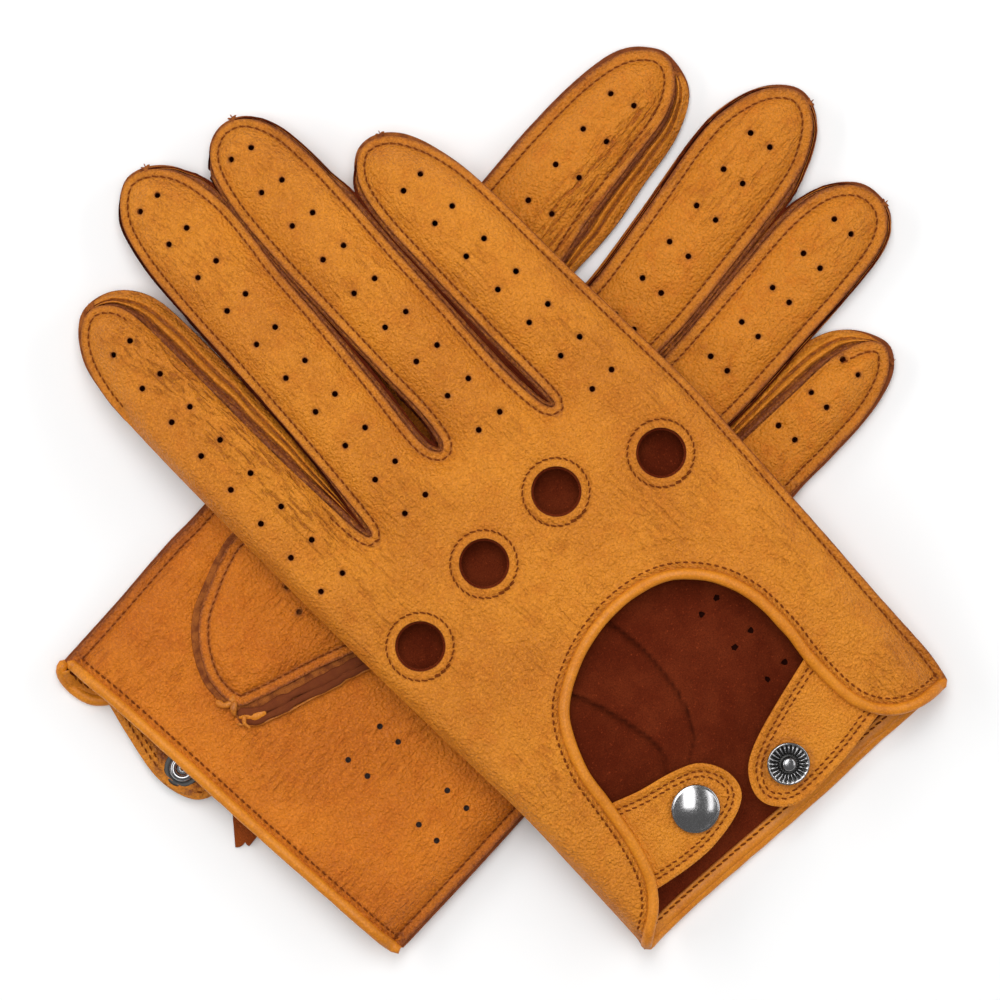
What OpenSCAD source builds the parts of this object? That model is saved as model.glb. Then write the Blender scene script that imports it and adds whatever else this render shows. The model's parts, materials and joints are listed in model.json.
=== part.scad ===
// A pair of unlined leather driving gloves, lying crossed on a flat surface.
// The left glove lies palm up at the bottom. The right glove lies palm down across it and hangs over both its sides.
// Each glove is drawn in its own frame, in millimetres: fingers towards +Y, index finger at -X, little finger at +X.

/* [Leather] */
// Thickness of the glove leather
leather_t = 0.9; // [0.8:0.1:1]
// Thickness of an empty glove, from the outside of the back to the outside of the palm
glove_h = 7.5; // [7.5:0.1:8]
// Thickness of an empty thumb, folded flat on the palm
thumb_h = 3; // [2.8:0.1:3.2]
// Width of the leather binding on the cut edges
binding_w = 2.2; // [2:0.1:2.4]
// Thickness of a bound edge
binding_t = 1.9; // [1.7:0.1:2]
// Thickness of a wrist strap, which is two layers glued and stitched
strap_t = 1.8; // [1.6:0.1:1.9]

/* [Lie] */
// How much further the wrist opens than the hand
wrist_gape = 4.2; // [4.2:0.1:5]
// Y of the line at which the fingers fold
fold_y = 166; // [165:0.5:168]
// Y where the upper glove starts to hang over the lower one
wrist_bend_y = 46; // [44:0.5:47]
// Angle of the lower glove to the upper one, in degrees
left_turn = -86; // [-88:0.5:-84]
// Air between pieces that move apart
air = 0.35; // [0.3:0.05:0.4]

/* [Knuckle holes] */
// Radius of the holes over the knuckles
knuckle_r = 6.3; // [6:0.1:6.5]
// Radius of the hole in the facing ring under each knuckle hole
facing_r = 5.9; // [5.7:0.1:6]
// Outside radius of a facing ring
facing_out_r = 9.2; // [8.8:0.1:9.4]

/* [Snap fastener] */
// Radius of the domed cap
cap_r = 6.2; // [6:0.1:6.3]
// Height of the dome
cap_h = 2; // [1.8:0.1:2]
// Radius of the ribbed stud ring
stud_r = 5.4; // [5.2:0.1:5.6]
// Radius of the stud's post
post_r = 2; // [1.9:0.1:2.1]
// Radius of the rivet barrels that go through the straps
barrel_r = 1.6; // [1.5:0.1:1.7]

/* [Hidden] */
HANDS = ["left", "right"];
HAND_PIECES = ["back_panel", "palm_panel", "index_fourchette", "middle_fourchette", "ring_fourchette",
    "thumb_outer", "thumb_inner", "opening_binding", "cuff_binding", "knuckle_facings",
    "cap_strap", "stud_strap", "snap_cap", "snap_socket", "snap_stud", "snap_eyelet"];
FINGERS = ["index", "middle", "ring", "little"];
TIP_PIECES = ["back", "palm", "fourchette"];

tan_leather = "#CE8035";
edge_leather = "#8A3A1C";
strap_leather = "#C07028";
dark_nickel = "#5B5A5C";

small_gap = 0.2;
snap_gap = 0.1;
root_y = 112;
reach = 100;
tall = 60;
finger_count = 4;

// Where the frame's origin lies in the upper glove's frame: under the middle of the pair's box.
frame_origin = [10.74, 113.7];
// Where the lower glove's origin lies in the upper glove's frame.
left_origin = [-100, 101.5];

// Each finger: X of its two sides at the root, then the centre and radius of its round tip.
FINGER_SHAPES = [
    [-50, -28, [-39, 204.8], 10.2],
    [-24.5, -1.2, [-7, 219.5], 11.4],
    [4.5, 26.6, [17.8, 212.2], 11.4],
    [30, 56, [42.6, 182.6], 11.6]];
KNUCKLES = [[-37, 96], [-11.3, 99.3], [14, 99.3], [39.2, 87.7]];

// The hand between the wrist and the fingers, with the bottoms of the slits between the fingers.
HAND_OUTLINE = [[-51, 1], [-50, 20], [-49.5, 45], [-49.7, 80], [-50, 124], [-27, 123.5], [1, 126.5],
    [28.5, 114.5], [56, 116], [55.6, 80], [54.2, 50], [52.6, 22], [51.5, -3.5], [10, -1.5], [-20, 1]];
HEM = [[-60, 1], [-20, 1], [10, -1.5], [60, -4]];
// The inner edge of the binding round the opening in the back, from one corner of the wrist to the other.
OPENING = [[-54, 2], [-48, 3.5], [-41, 8], [-36, 15], [-33, 25], [-31, 36], [-29.5, 45], [-25, 55],
    [-19, 61], [-8, 66], [5, 67.5], [17, 64.5], [25, 57], [29, 47], [29.5, 35], [28, 25], [28, 13],
    [30, 5], [34, 0], [41, -3.5], [48, -4.5], [54, -5]];
THUMB = [[-14, 21], [-20, 20.5], [-30, 26], [-38, 38], [-43, 54], [-38, 72], [-22, 98], [-5, 118], [8, 124],
    [18, 118], [19, 105], [10, 78], [0, 50], [-4, 40], [-9, 25]];
THUMB_HOLE = [[-19, 28], [-28, 34], [-34, 44], [-32, 56], [-22, 60], [-9, 52], [-8, 40], [-13, 30]];

cap_centre = [-17.3, 18.9];
cap_root = [[-30, 34], [-36, 11]];
CAP_STRAP = [[-24, 32], [-15, 29.5], [-8.5, 26.2], [-5.2, 20], [-6, 14], [-11, 10.6], [-20, 9], [-28, 9.6]];
stud_centre = [7, 10.4];
stud_root = [[28.5, 3.5], [26.5, 25.5]];
STUD_STRAP = [[20, 1.3], [8, 0.8], [1, 1.8], [-3.5, 6], [-4.2, 11], [-1, 16.5], [5, 20], [15, 23]];
// The lower glove's cap strap hangs out of the wrist.
left_cap_centre = [-15, -0.5];
left_cap_root = [[-34, 22], [-44, 1]];
LEFT_CAP_STRAP = [[-24, 15], [-14, 11], [-5.5, 6], [-3.5, 0], [-7, -5.5], [-17, -7.2], [-30, -4]];
left_cap_lift = 2.6;
left_stud_lift = 2.2;
TAB = [[-2.5, 3.5], [8.2, -7], [8.6, -4.2], [10.4, -4.6], [10, 3.5]];

// Side views of the two gloves: where the outside of the palm and of the back lie over the surface.
stack_h = glove_h + 2 * (small_gap + thumb_h) + 0.3;
wrist_end = -5;
finger_end = 236;
finger_fall = 0.211;
right_palm = [[wrist_end, 0], [wrist_bend_y, stack_h], [fold_y, stack_h],
    [finger_end, stack_h - finger_fall * (finger_end - fold_y)]];
right_back = [[wrist_end, glove_h + wrist_gape], [wrist_bend_y, stack_h + glove_h],
    [fold_y, stack_h + glove_h], [finger_end, stack_h + glove_h - finger_fall * (finger_end - fold_y)]];
left_palm = [[-20, glove_h + wrist_gape], [wrist_end, glove_h + wrist_gape], [wrist_bend_y, glove_h],
    [finger_end, glove_h]];
left_back = [[-20, 0], [wrist_end, 0], [wrist_bend_y, 0], [finger_end, 0]];
wrist_slope = (right_back[1].y - right_back[0].y) / (wrist_bend_y - wrist_end);

function is_left(hand) = hand == "left";
function inward(hand) = is_left(hand) ? -1 : 1;
function palm_line(hand) = is_left(hand) ? left_palm : right_palm;
function back_line(hand) = is_left(hand) ? left_back : right_back;
function mid_line(hand) = (palm_line(hand) + back_line(hand)) / 2;
function raised(line, by) = [for (p = line) [p.x, p.y + by]];
function cap_place(hand) = is_left(hand) ? left_cap_centre : cap_centre;
function reversed(list) = [for (i = [len(list) - 1:-1:0]) list[i]];
function back_z(y) = right_back[0].y + wrist_slope * (y - wrist_end);

// A smooth curve through the points of a list, closed or open.
function curve_point(a, b, c, d, t) =
    0.5 * (2 * b + (c - a) * t + (2 * a - 5 * b + 4 * c - d) * t * t + (3 * b - a - 3 * c + d) * t * t * t);
function smooth_open(p, steps = 3) = concat(
    [for (i = [0:len(p) - 2]) for (k = [0:steps - 1])
        curve_point(p[max(i - 1, 0)], p[i], p[i + 1], p[min(i + 2, len(p) - 1)], k / steps)],
    [p[len(p) - 1]]);
function smooth_closed(p, steps = 3) =
    [for (i = [0:len(p) - 1]) for (k = [0:steps - 1])
        curve_point(p[(i + len(p) - 1) % len(p)], p[i], p[(i + 1) % len(p)], p[(i + 2) % len(p)], k / steps)];

// Moves a glove from its own frame to the pair's.
module placed(hand) {
    if (is_left(hand))
        translate([left_origin.x - frame_origin.x, left_origin.y - frame_origin.y, 0])
            rotate([0, 0, left_turn]) children();
    else
        translate([-frame_origin.x, -frame_origin.y, 0]) children();
}

// A layer of leather: the plan given, cut to the space between two side-view lines.
module layer(low, high) {
    intersection() {
        translate([0, 0, -tall / 2]) linear_extrude(2 * tall) children();
        rotate([90, 0, 90]) translate([0, 0, -reach]) linear_extrude(2 * reach)
            polygon(concat(low, reversed(high)));
    }
}

// A layer at a depth inside the palm's or the back's outer face. A negative depth is outside it.
module palm_layer(hand, from, to) {
    side = inward(hand);
    a = raised(palm_line(hand), side * from);
    b = raised(palm_line(hand), side * to);
    layer(side > 0 ? a : b, side > 0 ? b : a) children();
}

module back_layer(hand, from, to) {
    side = -inward(hand);
    a = raised(back_line(hand), side * from);
    b = raised(back_line(hand), side * to);
    layer(side > 0 ? a : b, side > 0 ? b : a) children();
}

// The lower and the upper half of the glove's thickness, for the edges where back and palm are sewn together.
module palm_half(hand) {
    low = is_left(hand) ? mid_line(hand) : palm_line(hand);
    high = is_left(hand) ? palm_line(hand) : mid_line(hand);
    layer(low, high) children();
}

module back_half(hand) {
    low = is_left(hand) ? back_line(hand) : mid_line(hand);
    high = is_left(hand) ? mid_line(hand) : back_line(hand);
    layer(low, high) children();
}

// Between the inner faces of the palm and the back.
module inside_layer(hand) {
    side = inward(hand);
    palm_in = raised(palm_line(hand), side * leather_t);
    back_in = raised(back_line(hand), -side * leather_t);
    layer(side > 0 ? palm_in : back_in, side > 0 ? back_in : palm_in) children();
}

module finger_plan(i) {
    f = FINGER_SHAPES[i];
    tip = [for (a = [180:-15:0]) f[2] + f[3] * [cos(a), sin(a)]];
    polygon(concat([[f[0], root_y]], tip, [[f[1], root_y]]));
}

module glove_plan() {
    polygon(HAND_OUTLINE);
    for (i = [0:finger_count - 1]) finger_plan(i);
}

module past_fold() {
    translate([-reach, fold_y + air]) square([2 * reach, reach]);
}

module before_fold() {
    translate([-reach, -reach / 2]) square([2 * reach, reach / 2 + fold_y - air]);
}

// The opening in the back of the hand, with everything below it down to the wrist.
module opening_plan() {
    polygon(concat(smooth_open(OPENING), [[60, -30], [-60, -30]]));
}

module hem_plan() {
    polygon(concat(raised(HEM, binding_w), [[60, -30], [-60, -30]]));
}

// The sewn side edges of the hand, without the wrist and the slits between the fingers.
module side_edges() {
    edge_x = 46;
    difference() {
        intersection() {
            glove_plan();
            before_fold();
            union() {
                translate([-reach, 6]) square([reach - edge_x, reach + fold_y]);
                translate([edge_x, 6]) square([reach, reach + fold_y]);
            }
        }
        offset(delta = -leather_t) glove_plan();
    }
}

module finger_rim(i) {
    intersection() {
        difference() {
            finger_plan(i);
            offset(delta = -leather_t) finger_plan(i);
        }
        past_fold();
    }
}

// The part of a finger's edge that a fourchette closes: each side that faces another finger.
module fourchette_zone(i) {
    f = FINGER_SHAPES[i];
    if (i > 0) translate([f[2].x - reach, 0]) square([reach, f[2].y]);
    if (i < finger_count - 1) translate([f[2].x, 0]) square([reach, f[2].y]);
}

module thumb_hole_plan() {
    polygon(smooth_closed(THUMB_HOLE));
}

module thumb_plan() {
    polygon(smooth_closed(THUMB));
}

module thumb_edge() {
    difference() {
        thumb_plan();
        offset(delta = -leather_t) thumb_plan();
    }
}

module back_panel(hand) {
    color(tan_leather) placed(hand) difference() {
        union() {
            back_layer(hand, 0, leather_t) difference() {
                intersection() {
                    glove_plan();
                    before_fold();
                }
                offset(delta = binding_w) opening_plan();
            }
            back_half(hand) difference() {
                side_edges();
                offset(delta = binding_w) opening_plan();
            }
        }
        for (k = KNUCKLES) translate([k.x, k.y, -tall / 2]) cylinder(r = knuckle_r, h = 2 * tall, $fn = 48);
    }
}

module palm_panel(hand) {
    color(tan_leather) placed(hand) {
        palm_layer(hand, 0, leather_t) difference() {
            intersection() {
                glove_plan();
                before_fold();
            }
            hem_plan();
            thumb_hole_plan();
        }
        palm_half(hand) side_edges();
    }
}

// A forked strip that closes the sides of two neighbouring fingers.
module fourchette(hand, i) {
    from = FINGER_SHAPES[i][2].x;
    to = FINGER_SHAPES[i + 1][2].x;
    color(strap_leather) placed(hand) inside_layer(hand) intersection() {
        offset(delta = leather_t) difference() {
            translate([from, root_y - 2]) square([to - from, fold_y - root_y + 10]);
            glove_plan();
        }
        glove_plan();
        before_fold();
    }
}

// The outside of the thumb, folded flat on the palm.
module thumb_outer(hand) {
    outer = -small_gap - thumb_h;
    color(tan_leather) placed(hand) {
        palm_layer(hand, outer, outer + leather_t) thumb_plan();
        palm_layer(hand, outer, outer + thumb_h / 2) thumb_edge();
    }
}

module thumb_inner(hand) {
    color(tan_leather) placed(hand) {
        palm_layer(hand, -small_gap - leather_t, -small_gap) difference() {
            thumb_plan();
            thumb_hole_plan();
        }
        palm_layer(hand, -small_gap - thumb_h / 2, -small_gap) thumb_edge();
    }
}

module opening_binding(hand) {
    color(strap_leather) placed(hand) back_layer(hand, 0.3, binding_t) intersection() {
        difference() {
            offset(delta = binding_w) opening_plan();
            opening_plan();
        }
        glove_plan();
    }
}

module cuff_binding(hand) {
    color(strap_leather) placed(hand) palm_layer(hand, 0, binding_t) intersection() {
        hem_plan();
        glove_plan();
    }
}

// Rings of leather stitched round the knuckle holes, under the back.
module knuckle_facings(hand) {
    side = inward(hand);
    outer = is_left(hand) ? leather_t : stack_h + glove_h - 2 * leather_t;
    color(edge_leather) placed(hand) for (k = KNUCKLES) translate([k.x, k.y, outer]) difference() {
        cylinder(r = facing_out_r, h = leather_t, $fn = 48);
        translate([0, 0, -1]) cylinder(r = facing_r, h = leather_t + 2, $fn = 48);
    }
}

// Puts a strap's pieces where they lie. Their own frame has z = 0 on the strap's outer face.
module on_strap(hand, centre) {
    placed(hand) {
        if (is_left(hand))
            translate([centre.x, centre.y, centre == left_cap_centre ? left_cap_lift : left_stud_lift])
                mirror([0, 0, 1]) children();
        else
            translate([centre.x, centre.y, back_z(centre.y)]) rotate([atan(wrist_slope), 0, 0]) children();
    }
}

// A strap's plan, drawn round its fastener, with the hole for the rivet barrel.
module strap_solid(points, centre) {
    translate([0, 0, -strap_t]) difference() {
        linear_extrude(strap_t) translate(-centre) polygon(points);
        translate([0, 0, -1]) cylinder(r = barrel_r + snap_gap, h = strap_t + 2, $fn = 48);
    }
}

module cap_strap(hand) {
    root = is_left(hand) ? left_cap_root : cap_root;
    edge = is_left(hand) ? LEFT_CAP_STRAP : CAP_STRAP;
    color(strap_leather) on_strap(hand, cap_place(hand))
        strap_solid(concat([root[0]], smooth_open(edge), [root[1]]), cap_place(hand));
}

module stud_strap(hand) {
    color(strap_leather) on_strap(hand, stud_centre)
        strap_solid(concat([stud_root[0]], smooth_open(STUD_STRAP), [stud_root[1]]), stud_centre);
}

// The polished dome, with the barrel that is riveted into the socket.
module snap_cap(hand) {
    rim_h = 0.4;
    ball_r = (cap_r * cap_r + cap_h * cap_h) / (2 * cap_h);
    color(dark_nickel) on_strap(hand, cap_place(hand)) {
        cylinder(r = cap_r, h = rim_h, $fn = 64);
        intersection() {
            translate([0, 0, rim_h + cap_h - ball_r]) sphere(r = ball_r, $fn = 96);
            translate([0, 0, rim_h / 2]) cylinder(r = cap_r, h = cap_h + rim_h, $fn = 64);
        }
        translate([0, 0, -strap_t - 0.6]) cylinder(r = barrel_r, h = strap_t + 0.7, $fn = 48);
    }
}

// The ring under the cap strap that snaps over the stud.
module snap_socket(hand) {
    socket_r = 5;
    socket_h = 2;
    base_h = 0.6;
    color(dark_nickel) on_strap(hand, cap_place(hand)) translate([0, 0, -strap_t - socket_h]) difference() {
        cylinder(r = socket_r, h = socket_h, $fn = 64);
        translate([0, 0, -1]) cylinder(r = post_r + 0.15, h = socket_h - base_h + 1, $fn = 48);
        cylinder(r = barrel_r + snap_gap, h = socket_h + 1, $fn = 48);
    }
}

// The ribbed ring and post that the socket snaps over.
module snap_stud(hand) {
    ring_h = 0.9;
    post_h = 2;
    hole_r = 0.9;
    color(dark_nickel) on_strap(hand, stud_centre) difference() {
        union() {
            cylinder(r = stud_r, h = ring_h, $fn = 64);
            cylinder(r = post_r, h = post_h, $fn = 48);
        }
        translate([0, 0, 0.6]) cylinder(r = hole_r, h = post_h, $fn = 32);
    }
}

// The eyelet under the stud strap that holds the stud.
module snap_eyelet(hand) {
    flange_r = 4.2;
    flange_h = 0.5;
    color(dark_nickel) on_strap(hand, stud_centre) translate([0, 0, -strap_t - flange_h]) {
        cylinder(r = flange_r, h = flange_h, $fn = 64);
        cylinder(r = barrel_r, h = strap_t + flange_h, $fn = 48);
    }
}

module tip_back(hand, i) {
    color(tan_leather) placed(hand) {
        back_layer(hand, 0, leather_t) intersection() {
            finger_plan(i);
            past_fold();
        }
        back_half(hand) difference() {
            finger_rim(i);
            fourchette_zone(i);
        }
    }
}

module tip_palm(hand, i) {
    color(tan_leather) placed(hand) {
        palm_layer(hand, 0, leather_t) intersection() {
            finger_plan(i);
            past_fold();
        }
        palm_half(hand) difference() {
            finger_rim(i);
            fourchette_zone(i);
        }
    }
}

module tip_fourchette(hand, i) {
    color(strap_leather) placed(hand) inside_layer(hand) intersection() {
        finger_rim(i);
        fourchette_zone(i);
    }
}

// A small notched leather tab that shows under the lower glove's hem.
module leather_tab() {
    color(edge_leather) placed("left") translate([0, 0, small_gap]) linear_extrude(leather_t) polygon(TAB);
}

for (hand = HANDS) {
    back_panel(hand);
    palm_panel(hand);
    fourchette(hand, 0);
    fourchette(hand, 1);
    fourchette(hand, 2);
    thumb_outer(hand);
    thumb_inner(hand);
    opening_binding(hand);
    cuff_binding(hand);
    knuckle_facings(hand);
    cap_strap(hand);
    stud_strap(hand);
    snap_cap(hand);
    snap_socket(hand);
    snap_stud(hand);
    snap_eyelet(hand);
    for (i = [0:finger_count - 1]) {
        tip_back(hand, i);
        tip_palm(hand, i);
        tip_fourchette(hand, i);
    }
}
leather_tab();  // left_leather_tab
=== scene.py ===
import json
import math

import bpy
import numpy as np
from mathutils import Matrix, Vector
from mathutils.geometry import delaunay_2d_cdt


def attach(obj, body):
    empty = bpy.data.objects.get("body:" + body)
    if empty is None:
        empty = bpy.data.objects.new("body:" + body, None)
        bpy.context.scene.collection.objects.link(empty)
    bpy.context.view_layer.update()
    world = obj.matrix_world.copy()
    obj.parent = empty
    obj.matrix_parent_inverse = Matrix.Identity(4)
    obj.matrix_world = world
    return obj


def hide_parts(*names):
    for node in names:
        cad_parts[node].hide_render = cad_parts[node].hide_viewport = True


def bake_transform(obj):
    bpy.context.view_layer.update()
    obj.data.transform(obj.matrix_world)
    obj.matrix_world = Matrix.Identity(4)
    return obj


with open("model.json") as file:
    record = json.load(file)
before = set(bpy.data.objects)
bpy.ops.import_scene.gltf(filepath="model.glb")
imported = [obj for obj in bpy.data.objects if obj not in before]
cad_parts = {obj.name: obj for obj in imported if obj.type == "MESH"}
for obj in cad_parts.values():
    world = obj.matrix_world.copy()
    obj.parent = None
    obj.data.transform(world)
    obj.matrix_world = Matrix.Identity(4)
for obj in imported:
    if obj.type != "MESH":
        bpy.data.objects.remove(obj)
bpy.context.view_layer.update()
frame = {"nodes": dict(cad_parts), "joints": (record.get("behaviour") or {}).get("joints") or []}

MM = 0.001

# ---------------------------------------------------------------- the two gloves' own frames
# Each glove is drawn in millimetres in its own frame: fingers towards +y, index finger at -x. Their places
# come from the hinges of the CAD model, which lie on the fold line at these x.
FOLD_Y = 166.0
INDEX_X, LITTLE_X = -39.0, 42.6
GLOVE_H = 7.5            # how high a glove lies
GAPE = 4.2               # and how much higher at the open wrist
WRIST_END, WRIST_BEND = -5.0, 46.0
FINGER_FALL = 0.211      # the slope at which the upper glove's fingers drape down
CUT_Y = 151.0            # a finger's own pieces start here, before the fold begins
BLEND_FROM, BLEND_TO = 156.0, 176.0
FINGERS = ["index", "middle", "ring", "little"]
LEATHER = 0.9            # the thickness of the leather


def joint(name):
    return next(j for j in frame["joints"] if j["name"] == name)


class Glove:
    """One glove's frame, and its side view: how high its lower and upper faces lie over the surface."""

    def __init__(self, hand):
        self.hand = hand
        index = np.array(joint(hand + "_index_fold")["pos_m"]) / MM
        little = np.array(joint(hand + "_little_fold")["pos_m"]) / MM
        self.across = (little - index)[:2] / (LITTLE_X - INDEX_X)
        self.along = np.array([-self.across[1], self.across[0]])
        self.origin = index[:2] - INDEX_X * self.across - FOLD_Y * self.along
        self.top = index[2]
        self.lies_on_other = hand == "right"

    def row(self, p):
        """Points in the glove's frame, in millimetres, as points in the row frame, in metres."""
        p = np.asarray(p, float)
        xy = self.origin + p[:, :1] * self.across + p[:, 1:2] * self.along
        return np.column_stack([xy, p[:, 2]]) * MM

    def turned(self, v):
        """Directions in the glove's frame as directions in the row frame."""
        return np.column_stack([v[:, :1] * self.across + v[:, 1:2] * self.along, v[:, 2]])

    def low(self, y):
        """The underside: flat on the surface, or draped over the other glove."""
        if not self.lies_on_other:
            return np.zeros_like(y)
        stack = self.top - GLOVE_H
        z = stack - stack / (WRIST_BEND - WRIST_END) * ramp(WRIST_BEND - y, 5.0)
        return np.maximum(z - FINGER_FALL * ramp(y - FOLD_Y, 4.0), 0.0)

    def high(self, y):
        return self.low(y) + GLOVE_H + GAPE / (WRIST_BEND - WRIST_END) * ramp(WRIST_BEND - y, 5.0)

    def mid(self, y):
        return (self.low(y) + self.high(y)) / 2

    def high_straight(self, y):
        """The upper face without the soft bend, where the straps' snaps sit."""
        slope = (self.top - GLOVE_H - GAPE) / (WRIST_BEND - WRIST_END)
        return GLOVE_H + GAPE + slope * (np.asarray(y, float) - WRIST_END)


def ramp(t, k):
    """0 for t well under 0, t for t well over 0, and smooth between them."""
    return k * np.logaddexp(0, np.asarray(t, float) / k)


def onset(t):
    """0 for t well under 0, 1 for t well over 0, and smooth between them."""
    return 1 / (1 + np.exp(-t))


def bump(t):
    """1 at 0, and smoothly down to 0 past 1 or -1."""
    return np.exp(-np.asarray(t, float) ** 2)


# ---------------------------------------------------------------- curves and noise
def spline(points, step, closed=False):
    """A smooth curve through the points, sampled evenly every step millimetres."""
    p = np.array(points, float)
    n = len(p)
    spans = n if closed else n - 1
    pick = (lambda i: p[i % n]) if closed else (lambda i: p[min(max(i, 0), n - 1)])
    t = np.linspace(0, 1, 12, endpoint=False)[:, None]
    out = []
    for i in range(spans):
        a, b, c, d = pick(i - 1), pick(i), pick(i + 1), pick(i + 2)
        out.append(0.5 * (2 * b + (c - a) * t + (2 * a - 5 * b + 4 * c - d) * t**2
                          + (3 * b - a - 3 * c + d) * t**3))
    out.append(pick(spans)[None])
    return resampled(np.vstack(out), step)


def resampled(path, step):
    """The same path with its points evenly spaced. Both ends stay."""
    return by_count(path, max(2, int(round(arc(path)[-1] / step)) + 1), arc(path))


def arc(path):
    """How far along the path each of its points is."""
    return np.r_[0, np.cumsum(np.linalg.norm(np.diff(path, axis=0), axis=1))]


def by_count(path, count, along=None):
    """The same path as count points, evenly spaced."""
    along = arc(path[:, :3]) if along is None else along
    s = np.linspace(0, along[-1], count)
    return np.column_stack([np.interp(s, along, path[:, k]) for k in range(path.shape[1])])


def tangents(path, closed=False):
    if closed:
        return tangents(np.vstack([path[-1:], path, path[:1]]))[1:-1]
    return unit(np.gradient(path, axis=0))


def unit(v):
    return v / np.maximum(np.linalg.norm(v, axis=-1, keepdims=True), 1e-9)


def leftwards(path, closed=False):
    """The direction to the left of a path at each of its points."""
    t = tangents(path, closed)
    return np.column_stack([-t[:, 1], t[:, 0]])


def shifted(path, distance, closed=False):
    return path + distance * leftwards(path, closed)


def hashed(i, j, seed):
    v = np.sin(i * 127.1 + j * 311.7 + seed * 74.7) * 43758.5453
    return v - np.floor(v)


def noise(x, y, seed):
    """Smooth value noise from -1 to 1 with a cell of 1."""
    i, j = np.floor(x), np.floor(y)
    u, v = x - i, y - j
    u, v = u * u * (3 - 2 * u), v * v * (3 - 2 * v)
    a, b = hashed(i, j, seed), hashed(i + 1, j, seed)
    c, d = hashed(i, j + 1, seed), hashed(i + 1, j + 1, seed)
    return 2 * ((a * (1 - u) + b * u) * (1 - v) + (c * (1 - u) + d * u) * v) - 1


def noise_along(t, seed):
    return noise(t, np.zeros(len(t)), seed)


def inside(points, loops):
    """Which points lie inside the loops, with a loop inside another as a hole."""
    odd = np.zeros(len(points), bool)
    x, y = points[:, 0], points[:, 1]
    for loop in loops:
        a, b = loop, np.roll(loop, -1, axis=0)
        for p, q in zip(a, b):
            if p[1] != q[1]:
                hit = (p[1] > y) != (q[1] > y)
                odd[hit] ^= x[hit] < (q[0] - p[0]) * (y[hit] - p[1]) / (q[1] - p[1]) + p[0]
    return odd


def nearest(points, samples):
    """The distance from each point to the nearest sample, and which sample that is."""
    best, which = np.empty(len(points)), np.empty(len(points), int)
    for k in range(0, len(points), 2000):
        d = np.linalg.norm(points[k:k + 2000, None] - samples[None], axis=2)
        which[k:k + 2000] = d.argmin(axis=1)
        best[k:k + 2000] = d.min(axis=1)
    return best, which


def distance(points, samples):
    return nearest(points, samples)[0]


def away_from(points, centre):
    return np.linalg.norm(points - centre, axis=1)


# ---------------------------------------------------------------- meshes
def mesh_normals(points, faces):
    """A normal for each point, from the triangles round it."""
    tri = np.asarray(faces)
    n = np.cross(points[tri[:, 1]] - points[tri[:, 0]], points[tri[:, 2]] - points[tri[:, 0]])
    out = np.zeros_like(points)
    for k in range(3):
        np.add.at(out, tri[:, k], n)
    return unit(out)


def lattice(rows, columns, round_columns=True, round_rows=False):
    """Quads between rows of points, where either way may close on itself."""
    grid = np.arange(rows * columns).reshape(rows, columns)
    if round_columns:
        grid = np.column_stack([grid, grid[:, :1]])
    if round_rows:
        grid = np.vstack([grid, grid[:1]])
    return np.stack([grid[:-1, :-1], grid[:-1, 1:], grid[1:, 1:], grid[1:, :-1]], axis=-1).reshape(-1, 4)


def two_sided(quads, rows, columns):
    """Both faces and the rim of a sheet. All the points of one side come before those of the other."""
    grid = np.arange(rows * columns).reshape(rows, columns)
    edge = np.concatenate([grid[:, 0], grid[-1, 1:], grid[::-1, -1][1:], grid[0, ::-1][1:]])
    rim = np.column_stack([edge[:-1], edge[1:], edge[1:] + grid.size, edge[:-1] + grid.size])
    return quads, quads[:, ::-1] + grid.size, rim


def renumbered(count, *faces):
    """Which of count points the faces use, and the faces numbered by those points alone."""
    used = np.unique(np.concatenate([f.ravel() for f in faces]))
    back = np.full(count, -1)
    back[used] = np.arange(len(used))
    return used, *(back[f] for f in faces)


class Build:
    """Gathers points and faces in a glove's frame, and makes one object of them."""

    def __init__(self):
        self.points, self.tones, self.faces, self.slots = [], [], [], []
        self.count = 0

    def add(self, points, faces, slot=0, tone=0.0):
        points = np.asarray(points, float)
        self.points.append(points)
        self.tones.append(np.broadcast_to(tone, (len(points),)))
        self.faces += [tuple(int(i) + self.count for i in f) for f in faces]
        self.slots += np.broadcast_to(slot, (len(faces),)).tolist()
        self.count += len(points)

    def lay(self, name, glove, materials, finger=None, **fit):
        """Makes the object, and lets it follow its body; a piece on a finger only has its place baked into
        its points.
        """
        obj = make_object(name, glove, np.vstack(self.points), self.faces, self.slots,
                          np.concatenate(self.tones), materials)
        put(obj, glove, finger, **fit)


def make_object(name, glove, points, faces, slots, tones, materials, normals=None):
    mesh = bpy.data.meshes.new(name)
    mesh.from_pydata(glove.row(points).tolist(), [], faces)
    for m in materials:
        mesh.materials.append(m)
    mesh.polygons.foreach_set("material_index", np.asarray(slots, np.int32))
    mesh.polygons.foreach_set("use_smooth", np.ones(len(faces), bool))
    place = mesh.attributes.new("place", "FLOAT_VECTOR", "POINT")
    place.data.foreach_set("vector", np.asarray(points, np.float32).ravel())
    tone = mesh.attributes.new("tone", "FLOAT", "POINT")
    tone.data.foreach_set("value", np.asarray(tones, np.float32))
    if normals is not None:
        mesh.normals_split_custom_set(glove.turned(normals).tolist())
    obj = bpy.data.objects.new(name, mesh)
    bpy.context.scene.collection.objects.link(obj)
    return obj


def put(obj, glove, finger=None, body=None, stands_for=(), slot="tan_leather"):
    """Lets a piece follow its body, the hand's unless another is given; a piece on a finger only has its
    place baked into its points.
    """
    if finger is None:
        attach(obj, body or glove.hand + "_hand")
    else:
        start, end = glove.row([[0, BLEND_FROM, 0], [0, BLEND_TO, 0]])
        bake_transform(obj)
    if stands_for:
        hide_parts(*stands_for)


BIG_LOOP = 20            # a loop of fewer points is a small hole, with no rows of points round it
ROW_HEIGHT = 0.87        # the rows of a triangular grid, in steps


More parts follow.
